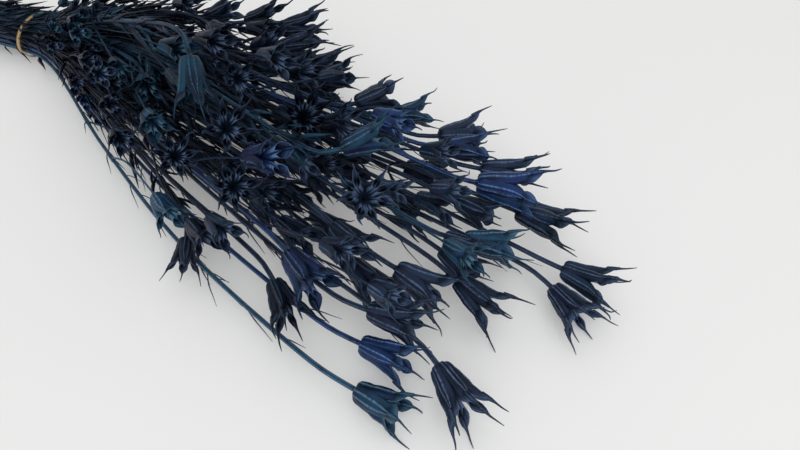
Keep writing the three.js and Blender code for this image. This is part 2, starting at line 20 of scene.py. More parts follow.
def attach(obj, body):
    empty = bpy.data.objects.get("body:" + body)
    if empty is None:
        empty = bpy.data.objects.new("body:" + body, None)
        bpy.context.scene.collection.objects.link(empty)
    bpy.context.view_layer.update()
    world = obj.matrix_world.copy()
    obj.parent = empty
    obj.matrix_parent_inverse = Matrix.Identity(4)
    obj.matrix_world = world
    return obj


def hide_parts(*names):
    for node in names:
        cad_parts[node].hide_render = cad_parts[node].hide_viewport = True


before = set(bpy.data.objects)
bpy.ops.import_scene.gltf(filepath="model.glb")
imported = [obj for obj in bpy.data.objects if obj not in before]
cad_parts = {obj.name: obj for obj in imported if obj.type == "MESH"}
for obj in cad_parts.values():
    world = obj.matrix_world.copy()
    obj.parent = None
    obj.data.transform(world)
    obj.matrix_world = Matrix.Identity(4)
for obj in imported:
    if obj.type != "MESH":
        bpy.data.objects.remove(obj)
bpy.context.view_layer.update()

LOG = logging.getLogger("seed_pods")
METRES = 0.001
FULL_TURN = 2 * math.pi
Points = np.ndarray
Colour = tuple[float, float, float, float]

# Sizes that the solids are made from, with the limits of their draws
FAN_TO_BAND = 7.0
BUNDLE_HEIGHT = 12.4
COLUMN_SIZES = (3, 4, 5, 6, 5, 6, 5, 6, 5, 4, 3)
COLUMN_SPACING = 2.8
ROW_SPACING = 3.6
STRAIGHT_TO = 9.0
OPENING_LENGTH = 22.0
CUT_END = (82.0, 106.0)
CUT_END_SPREAD = 1.35
CUT_END_HEIGHT = 17.0
STEM_RADIUS_AT_BAND = 1.2
STEM_RADIUS_FREE = 0.85
STEM_RADIUS_AT_HEAD = 1.1
FREE_FROM_BAND = 70.0
SIDE_STEM_RADIUS = 0.5
FIRST_STATION = 30.0
BEND_LENGTH = 24.0
BOW_NEEDING_MORE_STEPS = 3.0
BOWED_STEPS = 3
PLAIN_STEPS = 2
FLOOR_GAP = 0.3
HEAD_TRIES = 300
LARGEST_SHIFT = 22.0
LARGEST_TURN = 26.0
LARGEST_LIFT = 16.0
LARGEST_DROP = 0.3
LARGEST_SHRINK = 0.3
SIDE_TRIES = 48
PLACE_RANGE = (-0.07, 0.07)
FLARE_RANGE = (0.88, 1.1)
LENGTH_RANGE = (0.94, 1.06)
BEAK_TIP = (13.4, 30.0)
HEAD_SEED = 7919
SIDE_SEED = 104729
SIDE_ORDER_SEED = 1009

# Outer points of a follicle of the solid: (radius, height), then (radius, height, place across)
FOOT_POINTS = ((4.3, 0.3), (8.0, 12.6))
MOUTH_POINTS = ((10.6, 22.0, 0.0), (8.6, 19.8, 1.8), (8.6, 19.8, -1.8))

# The sprays, as they fan out from the band. Angles are in degrees.
# (fan angle, reach, height, turn of the head, its pitch, size, follicles, early outward bow, arch)
SPRAYS = (
    # Long stems whose heads rest on the table at the near edge and at the end
    (-27.5, 336, 0, -9, 0, 0.9, 4, -9, 0),
    (-26.6, 320, 0, -8, -4, 0.98, 5, -7, 2),
    (-22.8, 353, 0, -41, 0, 0.97, 6, -4, 2),
    (-12.6, 368, 0, -38, 0, 0.88, 6, 0, 2),
    (-11.2, 368, 13, -8, -4, 0.93, 6, 0, 8),
    (-24, 318, 22, 6, -6, 0.95, 5, -4, 6),
    (-25.9, 283, 13, -41, -8, 1.0, 6, -5, 3),
    (-25.4, 280, 31, -24, -10, 1.05, 5, -3.5, 8),
    (-19.2, 312, 20, -6, -16, 1.0, 5, 0, 8),
    (-16.5, 332, 18, -18, -12, 1.0, 5, 0, 8),
    (-14, 327, 24, 16, -8, 0.95, 4, 0, 10),
    (-8.5, 338, 20, -4, -4, 1.0, 5, 0, 8),
    (-9.8, 320, 36, 14, -6, 1.1, 5, 0, 14),
    (-6.3, 314, 26, 10, 0, 1.0, 5, 0, 10),
    (-6.8, 292, 32, 18, -2, 0.9, 4, 0, 12),
    (-3.7, 286, 26, 34, -4, 0.95, 4, 0, 10),
    (-6, 266, 30, 28, -4, 0.9, 4, 0, 10),
    (-6.5, 246, 42, 46, 2, 0.85, 4, 0, 14),
    # Heads that stand up out of the mass, and one that hangs from an arching stem
    (-18.4, 288, 44, -52, 50, 1.0, 8, 0, 12),
    (-14, 236, 48, -50, 44, 1.05, 8, 0, 12),
    (-20.7, 211, 46, -38, 44, 0.95, 7, 0, 10),
    (-27, 203, 38, -36, 44, 0.85, 7, -3, 8),
    (-25.3, 241, 40, -38, 46, 0.9, 7, -3.5, 8),
    (-16.5, 272, 58, 30, 20, 0.85, 4, 0, 16),
    (-19.9, 194, 74, -58, -46, 0.95, 4, 0, 6),
    (-14.1, 134, 46, -50, -24, 0.85, 4, 0, 10),
    (-18.5, 148, 44, -50, 10, 0.75, 4, 0, 8),
    (-0.5, 146, 48, -38, 4, 0.95, 5, 0, 8),
    (3.6, 178, 34, 30, 4, 1.0, 6, 2, 8),
    (10, 172, 34, 30, 4, 1.0, 6, 4, 6),
    (-28.8, 224, 12, -60, -14, 0.75, 4, -2, 4),
    # The rest of the mass, low to high
    (-20.5, 292, 0, -26, -4, 0.95, 5, 0, 4),
    (-15.3, 322, 6, -14, -6, 0.92, 5, 0, 4),
    (-11.5, 280, 0, -16, -4, 0.95, 5, 0, 4),
    (-7.5, 276, 0, 0, -4, 0.95, 5, 0, 4),
    (-2.5, 240, 0, 12, 0, 0.95, 5, 0, 4),
    (3, 188, 0, 16, 0, 0.95, 5, 2, 3),
    (12, 156, 0, 34, 0, 0.95, 5, 4, 3),
    (-23.4, 256, 18, -30, -6, 0.9, 5, -2, 6),
    (-12.2, 316, 20, -4, -6, 0.92, 4, 0, 8),
    (-20.8, 284, 30, -24, -6, 0.95, 5, 0, 6),
    (7, 174, 14, 26, 0, 0.95, 5, 3, 4),
    (0, 196, 22, 18, 0, 1.0, 5, 0, 6),
    (-21.5, 236, 30, -20, 10, 0.9, 5, 0, 8),
    (-17, 246, 34, -24, 16, 0.95, 6, 0, 10),
    (-2, 206, 34, 24, 6, 0.95, 6, 0, 10),
    (-10.3, 244, 40, -16, 22, 0.95, 6, 0, 12),
    (-7, 204, 46, -14, 16, 0.95, 6, 0, 12),
    (-11, 186, 48, -34, 20, 0.9, 6, 0, 12),
    (6, 158, 44, 14, 16, 0.9, 6, 2, 8),
    (-23, 162, 36, -50, 24, 0.8, 5, 0, 6),
    (10, 128, 36, 30, 20, 0.85, 5, 3, 6),
)

# Side stems: share of the main stem where they leave, length, size and follicles of their head,
# the directions round the stem that they may take, in degrees, the first spray that has one,
# and one spray in so many from there on
SIDE_KINDS = (
    (0.74, 50.0, 0.74, 4, (0.0, 360.0), 1, 1),
    (0.22, 34.0, 0.62, 3, (0.0, 360.0), 0, 3),
    (0.5, 52.0, 0.66, 4, (0.0, 360.0), 0, 3),
    (0.13, 24.0, 0.52, 3, (20.0, 160.0), 0, 1),
    (0.34, 30.0, 0.58, 3, (20.0, 160.0), 2, 4),
)
SIDE_PLACE = (-0.1, 0.1)
SIDE_LENGTH = (0.75, 1.25)
SIDE_LEAVE = (26.0, 40.0)
SIDE_ARRIVE = (-8.0, 30.0)
SIDE_CORNER = 0.45
SIDE_SIZE = (0.85, 1.15)
TIP_TOLERANCE = 0.06

# Limits for the smooth lines
SHORTEST_GAP = 1e-6
NEARLY_UPRIGHT = 0.9

# A follicle's cross-sections, from its foot to its mouth, in a head of full size:
# (outer radius, outer height, inner radius, inner height, half width)
FOLLICLE_ROWS = (
    (0.9, 1.1, 0.0, 1.2, 0.5),
    (2.5, -0.9, 0.0, 0.5, 1.5),
    (4.0, -0.4, 0.0, 0.9, 2.4),
    (5.1, 1.9, 0.0, 2.6, 2.9),
    (6.0, 6.2, 0.0, 5.6, 3.15),
    (7.1, 11.0, 0.4, 8.8, 3.3),
    (8.0, 15.2, 1.7, 12.2, 3.15),
    (9.1, 18.6, 3.0, 14.4, 2.65),
    (10.3, 21.4, 3.9, 15.9, 2.4),
    (11.6, 23.9, 4.6, 17.0, 2.5),
)

# What a follicle's width is fitted to when a head has more or fewer of them
VALLEY_RADIUS = 3.9
WIDEST = 2.9
WIDTH_LIMITS = (0.62, 1.3)

# Points round half a follicle, from its keel to its seam, and how far each stands off the wall
FINE_OUTLINE = (
    (0.0, -0.36), (0.02, -0.06), (0.042, 0.32), (0.072, 0.3), (0.11, -0.18), (0.165, -0.06),
    (0.24, 0.03), (0.32, 0.09), (0.42, -0.03), (0.56, 0.03), (0.7, 0.05), (0.84, 0.02),
    (0.92, 0.12), (0.955, 0.0), (1.0, -0.05),
)
PLAIN_OUTLINE = (
    (0.0, -0.3), (0.05, 0.3), (0.11, -0.15), (0.24, 0.04), (0.4, 0.0), (0.58, 0.05),
    (0.74, 0.0), (0.86, 0.1), (0.955, 0.0), (1.0, -0.05),
)

# Where the paler edge of an open seam lies on the outline, and how deep the seam is sunk
LIP = (0.8, 0.97)
SEAM_DEPTH = 0.44


class Dye(Enum):
    """The record's material slots for the dyed sprays."""

    NAVY = "navy_dyed"
    ROYAL = "royal_dyed"
    TEAL = "teal_dyed"


DYE_OF_SPRAY = {number: Dye.ROYAL for number in (2, 8, 13, 15)} | {
    number: Dye.TEAL for number in (1, 11, 17, 24, 25, 26, 27)}


class Draws:
    """A repeatable stream of draws from 0 to 1, the same as the one that laid the solids."""

    MASK = 0xFFFFFFFF
    STEP = 0x6D2B79F5

    def __init__(self, seed: int) -> None:
        """Starts the stream at a seed."""
        self.state = seed & self.MASK

    def next(self) -> float:
        """Returns the next draw."""
        self.state = (self.state + self.STEP) & self.MASK
        mixed = ((self.state ^ (self.state >> 15)) * (self.state | 1)) & self.MASK
        mixed = ((mixed + ((mixed ^ (mixed >> 7)) * (mixed | 61))) & self.MASK) ^ mixed
        return ((mixed ^ (mixed >> 14)) & self.MASK) / (self.MASK + 1)

    def between(self, low: float, high: float) -> float:
        """Returns a draw scaled to a range."""
        return low + (high - low) * self.next()

    def within(self, limits: tuple[float, float]) -> float:
        """Returns a draw scaled to a range given as a pair."""
        return self.between(*limits)


def vector(x: float, y: float, z: float) -> Points:
    """Returns three numbers as an array."""
    return np.array((x, y, z), dtype=float)


def unit(direction: Points) -> Points:
    """Returns a direction with length 1."""
    return direction / np.linalg.norm(direction)


def heading(turn: float, pitch: float) -> Points:
    """Returns the direction with a turn round the vertical and a pitch above the table."""
    level = math.cos(math.radians(pitch))
    angle = math.radians(turn)
    return vector(level * math.cos(angle), level * math.sin(angle), math.sin(math.radians(pitch)))


def bend(start: Points, corner: Points, end: Points, share: float) -> Points:
    """Returns a point of the curve from a start to an end that leans towards a corner."""
    return start * (1 - share) ** 2 + corner * 2 * share * (1 - share) + end * share ** 2


@dataclass(frozen=True)
class Axes:
    """Three directions square to each other, the first along a stem or a head."""

    direction: Points
    side: Points
    top: Points

    @classmethod
    def along(cls, direction: Points) -> "Axes":
        """Returns the axes of a direction, with one of them level."""
        side = unit(np.cross(vector(0, 0, 1), direction))
        return cls(direction, side, np.cross(direction, side))

    def around(self, origin: Points, out: Points | float, angle: Points | float,
               height: Points | float, across: Points | float = 0.0) -> Points:
        """Returns points by radius, angle in radians, place along and place square to both."""
        cos, sin = np.cos(angle), np.sin(angle)
        aside = np.asarray(out * cos - across * sin)[..., None]
        upward = np.asarray(out * sin + across * cos)[..., None]
        onward = np.asarray(height + 0.0 * (out + across))[..., None]
        return origin + aside * self.side + upward * self.top + onward * self.direction


@dataclass(frozen=True)
class Follicle:
    """One seed case of a head: its angle round it, and its flare and length against the mean."""

    angle: float
    flare: float
    length: float


@dataclass
class HeadPlan:
    """Where a seed head is, how large it is and which follicles it has."""

    base: Points
    axes: Axes
    size: float
    follicles: list[Follicle]

    @classmethod
    def drawn(cls, base: Points, direction: Points, spin: float, size: float, count: int,
              draw: Draws) -> "HeadPlan":
        """Draws the follicles of a head.

        Args:
            base: Foot of the head.
            direction: Its heading.
            spin: Its turn about its own axis.
            size: Its size against the full one.
            count: Number of follicles.
            draw: The stream that they come from.

        Returns:
            The head.
        """
        follicles = [
            Follicle(
                angle=FULL_TURN * (index + draw.within(PLACE_RANGE)) / count + spin,
                flare=draw.within(FLARE_RANGE),
                length=draw.within(LENGTH_RANGE),
            )
            for index in range(count)
        ]
        return cls(base, Axes.along(direction), size, follicles)

    def point(self, out: float, angle: float, height: float, across: float = 0.0) -> Points:
        """Returns a point of the head, given in the sizes of a full one."""
        return self.axes.around(
            self.base, out * self.size, angle, height * self.size, across * self.size)

    def tip(self, follicle: Follicle) -> Points:
        """Returns the tip of a follicle's beak in the solid."""
        out, height = BEAK_TIP
        return self.point(out * follicle.flare, follicle.angle, height * follicle.length)

    def lowest(self) -> float:
        """Returns the height of the lowest point of the head's solid."""
        heights = []
        for one in self.follicles:
            heights.append(self.tip(one)[2])
            heights += [self.point(out, one.angle, height)[2] for out, height in FOOT_POINTS]
            heights += [
                self.point(out * one.flare, one.angle, height * one.length, across)[2]
                for out, height, across in MOUTH_POINTS]
        return min(heights)


@dataclass
class SprayPlan:
    """A main stem's row of the table, with the slot that it takes in the bundle."""

    index: int
    angle: float
    reach: float
    height: float
    turn: float
    pitch: float
    size: float
    follicles: int
    bow: float
    arch: float
    slot: tuple[float, float] = (0.0, 0.0)

    def head_try(self, attempt: int) -> HeadPlan:
        """Returns one try at the spray's head. Later tries stray further from the plan.

        Args:
            attempt: The number of the try, from 0.

        Returns:
            The head.
        """
        draw = Draws(HEAD_SEED * (self.index + 1) + attempt)
        strayed = attempt / HEAD_TRIES

        def stray(largest: float) -> float:
            """Returns a stray that grows with the tries."""
            return draw.between(-largest, largest) * strayed

        turn = self.turn + stray(LARGEST_TURN)
        pitch = self.pitch + stray(LARGEST_TURN)
        spin = draw.between(0, FULL_TURN)
        angle = math.radians(self.angle)
        x = self.reach * math.cos(angle) + stray(LARGEST_SHIFT)
        y = self.reach * math.sin(angle) + stray(LARGEST_SHIFT)
        z = self.height + draw.between(-LARGEST_DROP, 1) * LARGEST_LIFT * strayed
        size = self.size * (1 - LARGEST_SHRINK * strayed)
        head = HeadPlan.drawn(
            vector(x, y, z), heading(turn, pitch), spin, size, self.follicles, draw)
        lowest = head.lowest()
        if self.height == 0:
            head.base[2] -= lowest
        elif lowest < FLOOR_GAP:
            head.base[2] += FLOOR_GAP - lowest
        return head

    def run_point(self, aim: Points, along: float) -> Points:
        """Returns a point of the stem's run from its slot to its aim under the head.

        Args:
            aim: Where the run ends.
            along: Distance from the band.

        Returns:
            The point.
        """
        run = aim[0] - STRAIGHT_TO
        ease = OPENING_LENGTH / run

        def eased(share: float) -> float:
            """Returns how far the stem has left its slot, before scaling."""
            return share - ease * (1 - math.exp(-share / ease))

        share = eased((along - STRAIGHT_TO) / run) / eased(1)
        bow = math.tan(math.radians(self.angle + self.bow)) - math.tan(math.radians(self.angle))
        level = self.slot[0] * (1 - share)
        level += aim[0] * (aim[1] / aim[0] * share + bow * share * (1 - share))
        rise = self.slot[1] * (1 - share) + aim[2] * share + 4 * self.arch * share * (1 - share)
        return vector(along, level, rise)

    def path(self, head: HeadPlan) -> list[Points]:
        """Returns the stem's path, from its cut end to its head.

        Args:
            head: The head that it carries.

        Returns:
            The corner points of the solid's stem.
        """
        aim = head.base - head.axes.direction * BEND_LENGTH / 2
        bend_start = aim[0] - BEND_LENGTH / 2 * math.cos(math.radians(self.angle))
        cut_at = -Draws(self.index + 1).within(CUT_END)
        cut_height = CUT_END_HEIGHT + (self.slot[1] - BUNDLE_HEIGHT)
        steps = BOWED_STEPS if abs(self.bow) > BOW_NEEDING_MORE_STEPS else PLAIN_STEPS
        stations = [STRAIGHT_TO] + [
            FIRST_STATION + (bend_start - FIRST_STATION) * step / steps
            for step in range(steps + 1)]
        run = [self.run_point(aim, along) for along in stations]
        return [
            vector(cut_at, self.slot[0] * CUT_END_SPREAD, cut_height),
            *run,
            bend(run[-1], aim, head.base, 0.5),
            head.base,
        ]


@dataclass
class SidePlan:
    """A side stem that the solid has: its path from the main stem and its head."""

    path: list[Points]
    head: HeadPlan


def planned_sprays() -> list[SprayPlan]:
    """Returns the plans with their slots: columns by fan angle, rows by steepness."""
    plans = [SprayPlan(index, *row) for index, row in enumerate(SPRAYS)]
    ordered = sorted(plans, key=lambda plan: plan.angle + plan.bow)
    middle = (len(COLUMN_SIZES) - 1) / 2
    first = 0
    for column, size in enumerate(COLUMN_SIZES):
        members = sorted(
            ordered[first:first + size], key=lambda plan: (plan.height + plan.arch) / plan.reach)
        for row, plan in enumerate(members):
            plan.slot = (
                (column - middle) * COLUMN_SPACING,
                BUNDLE_HEIGHT + (row - (size - 1) / 2) * ROW_SPACING,
            )
        first += size
    return plans


def along_path(path: Sequence[Points], share: float) -> tuple[Points, Points]:
    """Returns the point at a share of a path's length, and the path's heading there."""
    lengths = [float(np.linalg.norm(after - before)) for before, after in zip(path, path[1:])]
    left = share * sum(lengths)
    for before, after, length in zip(path, path[1:], lengths):
        if left <= length:
            break
        left -= length
    direction = unit(after - before)
    return before + direction * left, direction


def side_try(plan: SprayPlan, path: list[Points], order: int, attempt: int) -> SidePlan:
    """Returns one try at a side stem and its head.

    Args:
        plan: The spray that it grows on.
        path: The main stem's path.
        order: Which kind of side stem it is.
        attempt: The number of the try, from 0.

    Returns:
        The side stem.
    """
    share, long, size, count, azimuths, _, _ = SIDE_KINDS[order]
    draw = Draws(SIDE_SEED * (plan.index + 1) + SIDE_ORDER_SEED * order + attempt)
    start, direction = along_path(path[1:], share + draw.within(SIDE_PLACE))
    axes = Axes.along(direction)
    azimuth = math.radians(draw.within(azimuths))
    length = long * draw.within(SIDE_LENGTH)

    def leaning(degrees: float) -> Points:
        """Returns the heading that leans from the main stem by an angle."""
        lean = math.radians(degrees)
        return axes.around(vector(0, 0, 0), math.sin(lean), azimuth, math.cos(lean))

    corner = start + leaning(draw.within(SIDE_LEAVE)) * length * SIDE_CORNER
    arriving = leaning(draw.within(SIDE_ARRIVE))
    base = corner + arriving * length * (1 - SIDE_CORNER)
    head_size = size * draw.within(SIDE_SIZE)
    head = HeadPlan.drawn(base, arriving, draw.between(0, FULL_TURN), head_size, count, draw)
    return SidePlan([start, bend(start, corner, base, 0.5), base], head)


@dataclass
class Corners:
    """The corner points of a solid, which tell from which tries it was made."""

    tree: KDTree

    @classmethod
    def of(cls, node: bpy.types.Object) -> "Corners":
        """Returns the corners of a frame node."""
        tree = KDTree(len(node.data.vertices))
        for index, vertex in enumerate(node.data.vertices):
            tree.insert(vertex.co / METRES + Vector((FAN_TO_BAND, 0, 0)), index)
        tree.balance()
        return cls(tree)

    def has(self, head: HeadPlan) -> bool:
        """Tells whether all of a head's beaks end at corners of the solid."""
        return all(
            self.tree.find(Vector(head.tip(one)))[2] < TIP_TOLERANCE for one in head.follicles)

    def main_head(self, plan: SprayPlan) -> HeadPlan:
        """Returns the try that the solid's main head was made from."""
        for attempt in range(HEAD_TRIES):
            head = plan.head_try(attempt)
            if self.has(head):
                return head
        raise RuntimeError(f"no try fits spray {plan.index + 1}")

    def side_stems(self, plan: SprayPlan, path: list[Points]) -> list[SidePlan]:
        """Returns the side stems that the solid has on a stem's path, in order of their kinds."""
        found = []
        for order, (_, _, _, _, _, first, every) in enumerate(SIDE_KINDS):
            if plan.index < first or (plan.index - first) % every:
                continue
            tries = (side_try(plan, path, order, attempt) for attempt in range(SIDE_TRIES))
            fitting = next((side for side in tries if self.has(side.head)), None)
            if fitting is not None:
                found.append(fitting)
        return found


@dataclass
class Shell:
    """A mesh under construction, with the values that its finish reads at each point."""

    points: list[Points] = field(default_factory=list)
    values: list[Points] = field(default_factory=list)
    faces: list[tuple[int, ...]] = field(default_factory=list)
    count: int = 0

    LABELS = ("ridge", "inside", "cut", "tone")

    def add(self, points: Points, ridge: Points | float = 0.0, inside: Points | float = 0.0,
            cut: float = 0.0, tone: float = 0.5,
            grain: tuple[Points | float, Points | float, float] = (0.0, 0.0, 0.0)) -> int:
        """Adds points with their values, each one number or one for every point.

        Args:
            points: Rows of three numbers, in millimetres.
            ridge: How much each is on a ridge, from 0 to 1.
            inside: How far each is inside a seed case or sunk in an open seam, from 0 to 1; the
                finish darkens it as painted shade.
            cut: 1 on a cut end.
            tone: The shade of this part against the others.
            grain: Places round and along the part, and the part's own number.

        Returns:
            The index of the first point.
        """
        first = self.count
        size = points.shape[:-1]
        values = (ridge, inside, cut, tone, *grain)
        self.points.append(points.reshape(-1, 3))
        self.values.append(np.stack([np.broadcast_to(value, size).ravel() for value in values], 1))
        self.count += len(self.points[-1])
        return first

    def join(self, low: int, high: int, around: int) -> None:
        """Joins two rings of points, given by their first ones, with quads."""
        for step in range(around):
            after = (step + 1) % around
            self.faces.append((low + step, low + after, high + after, high + step))

    def wall(self, first: int, rings: int, around: int) -> int:
        """Joins rings that follow each other, and returns the last one's first point."""
        last = first + (rings - 1) * around
        for low in range(first, last, around):
            self.join(low, low + around, around)
        return last

    def cap(self, ring: int, around: int, centre: int, facing_back: bool = False) -> None:
        """Closes a ring with a fan round a centre, which may face against the rings' order."""
        for step in range(around):
            after = (step + 1) % around
            first, second = (after, step) if facing_back else (step, after)
            self.faces.append((ring + first, ring + second, centre))

    def mesh(self, name: str) -> bpy.types.Mesh:
        """Returns the finished mesh, in metres, with its values as attributes."""
        points = (np.concatenate(self.points) - vector(FAN_TO_BAND, 0, 0)) * METRES
        points[:, 2] = np.maximum(points[:, 2], 0.0)
        values = np.concatenate(self.values)
        mesh = bpy.data.meshes.new(name)
        mesh.from_pydata(points.tolist(), [], self.faces)
        mesh.update()
        for column, label in enumerate(self.LABELS):
            layer = mesh.attributes.new(label, "FLOAT", "POINT")
            layer.data.foreach_set("value", values[:, column].astype(np.float32))
        grain = mesh.attributes.new("grain", "FLOAT_VECTOR", "POINT")
        carried = values[:, len(self.LABELS):]
        grain.data.foreach_set("vector", carried.astype(np.float32).ravel())
        mesh.polygons.foreach_set("use_smooth", np.ones(len(mesh.polygons), dtype=bool))
        return mesh


def extended(rows: Sequence[Points]) -> list[Points]:
    """Returns rows with one more at each end, in line with the last two."""
    return [2 * rows[0] - rows[1], *rows, 2 * rows[-1] - rows[-2]]


def part_way(height: Points, change: tuple[float, float]) -> Points:
    """Returns how far a change, given by its start and length, has come at each height."""
    start, length = change
    return np.clip((height - start) / length, 0, 1)


def flowing(corners: Sequence[Points], spacing: float) -> Points:
    """Returns a smooth line through corner points.

    Args:
        corners: The points that it goes through.
        spacing: Distance between its points.

    Returns:
        Rows of three numbers.
    """
    line = extended(corners)
    pieces = []
    for a, b, c, d in zip(line, line[1:], line[2:], line[3:]):
        ab, bc, cd = (
            max(float(np.linalg.norm(after - before)), SHORTEST_GAP) ** 0.5
            for before, after in ((a, b), (b, c), (c, d)))
        leave = (b - a) / ab - (c - a) / (ab + bc) + (c - b) / bc
        arrive = (c - b) / bc - (d - b) / (bc + cd) + (d - c) / cd
        steps = max(2, round(bc * bc / spacing))
        share = np.linspace(0, 1, steps, endpoint=False)[:, None]
        square, cube = share ** 2, share ** 3
        pieces.append(
            (2 * cube - 3 * square + 1) * b + (cube - 2 * square + share) * leave * bc
            + (3 * square - 2 * cube) * c + (cube - square) * arrive * bc)
    return np.concatenate([*pieces, corners[-1][None, :]])


def carried_sides(line: Points) -> tuple[Points, Points]:
    """Returns two rows of directions square to a line at each of its points, without twist."""
    tangents = np.gradient(line, axis=0)
    tangents /= np.linalg.norm(tangents, axis=1)[:, None]
    start = vector(0, 0, 1) if abs(tangents[0][2]) < NEARLY_UPRIGHT else vector(0, 1, 0)
    sides = [unit(np.cross(start, tangents[0]))]
    for tangent in tangents[1:]:
        sides.append(unit(sides[-1] - tangent * np.dot(sides[-1], tangent)))
    side = np.array(sides)
    return side, np.cross(tangents, side)


@dataclass
class Stalk:
    """A round, finely ribbed stalk along a smooth line."""

    line: Points
    radii: Points
    around: int
    ribs: float
    number: float
    tone: float

    RIDGE = 0.8
    GRAIN_LENGTH = 10
    PITH_SHARE = 0.3
    PITH_DEPTH = 0.5

    def grow(self, shell: Shell, cut: bool = False) -> None:
        """Adds the stalk to a shell.

        Args:
            shell: The mesh that it joins.
            cut: Whether its first end is a cut one that shows its pith.
        """
        side, top = carried_sides(self.line)
        turn = np.arange(self.around) * FULL_TURN / self.around
        ridge = 0.5 + 0.5 * np.cos(turn * (self.around // 2))
        radius = self.radii[:, None] * (1 + self.ribs * (ridge[None, :] - 0.5))
        points = (
            self.line[:, None, :]
            + (radius * np.cos(turn))[..., None] * side[:, None, :]
            + (radius * np.sin(turn))[..., None] * top[:, None, :])
        steps = np.linalg.norm(np.diff(self.line, axis=0), axis=1)
        gone = np.concatenate([[0], np.cumsum(steps)])
        grain = (turn / FULL_TURN, gone[:, None] / self.GRAIN_LENGTH, self.number)
        first = shell.add(points, ridge=ridge * self.RIDGE, tone=self.tone, grain=grain)
        last = shell.wall(first, len(self.line), self.around)
        shell.cap(last, self.around, shell.add(self.line[-1:], tone=self.tone))
        if cut:
            self.grow_cut_end(shell, points[0], (grain[0], 0.0, self.number))
        else:
            near = shell.add(self.line[:1], tone=self.tone)
            shell.cap(first, self.around, near, facing_back=True)

    def grow_cut_end(self, shell: Shell, rim: Points,
                     grain: tuple[Points, float, float]) -> None:
        """Adds the pale ring and the hollow pith of a cut end.

        Args:
            shell: The mesh that they join.
            rim: The points of the stalk's first ring.
            grain: Their grain.
        """
        start, after = self.line[:2]
        inner = rim * self.PITH_SHARE + start * (1 - self.PITH_SHARE)
        outside = shell.add(rim, cut=1.0, tone=self.tone, grain=grain)
        pith = shell.add(inner, cut=1.0, tone=self.tone, grain=grain)
        bottom = start + unit(after - start) * self.PITH_DEPTH
        hollow = shell.add(bottom[None, :], cut=1.0, tone=0.0)
        shell.join(pith, outside, self.around)
        shell.cap(pith, self.around, hollow, facing_back=True)


@dataclass(frozen=True)
class Detail:
    """How finely a seed head is made."""

    rings: int
    outline: tuple[tuple[float, float], ...]
    pocket: tuple[tuple[float, float], ...]
    beak_sides: int
    beak_step: float

    @cached_property
    def rows(self) -> Points:
        """Returns the follicle's cross-sections, evenly spaced and smoothed, one row each."""
        line = extended([np.array(row) for row in FOLLICLE_ROWS])
        steps = len(FOLLICLE_ROWS) - 1
        table = []
        for place in np.linspace(0, steps, self.rings):
            step = min(int(place), steps - 1)
            share = place - step
            a, b, c, d = line[step:step + 4]
            table.append(0.5 * (
                2 * b + (c - a) * share + (2 * a - 5 * b + 4 * c - d) * share ** 2
                + (3 * b - a - 3 * c + d) * share ** 3))
        return np.array(table)

    @cached_property
    def girth(self) -> tuple[Points, Points, Points]:
        """Returns the outline round a whole follicle: places, heights off the wall and sides."""
        share, lift = (
            np.concatenate([half, half[-2:0:-1]]) for half in np.array(self.outline).T)
        points = len(self.outline)
        return share, lift, np.concatenate([np.ones(points), -np.ones(points - 2)])


# The pocket's rings go down into the open follicle: (depth, share of the mouth's width)
MAIN_DETAIL = Detail(
    rings=17, outline=FINE_OUTLINE, pocket=((0.1, 0.96), (1.2, 0.84), (4.0, 0.62), (7.2, 0.24)),
    beak_sides=6, beak_step=1.8)
SIDE_DETAIL = Detail(
    rings=13, outline=PLAIN_OUTLINE, pocket=((0.1, 0.95), (2.0, 0.78), (6.6, 0.28)),
    beak_sides=5, beak_step=2.2)


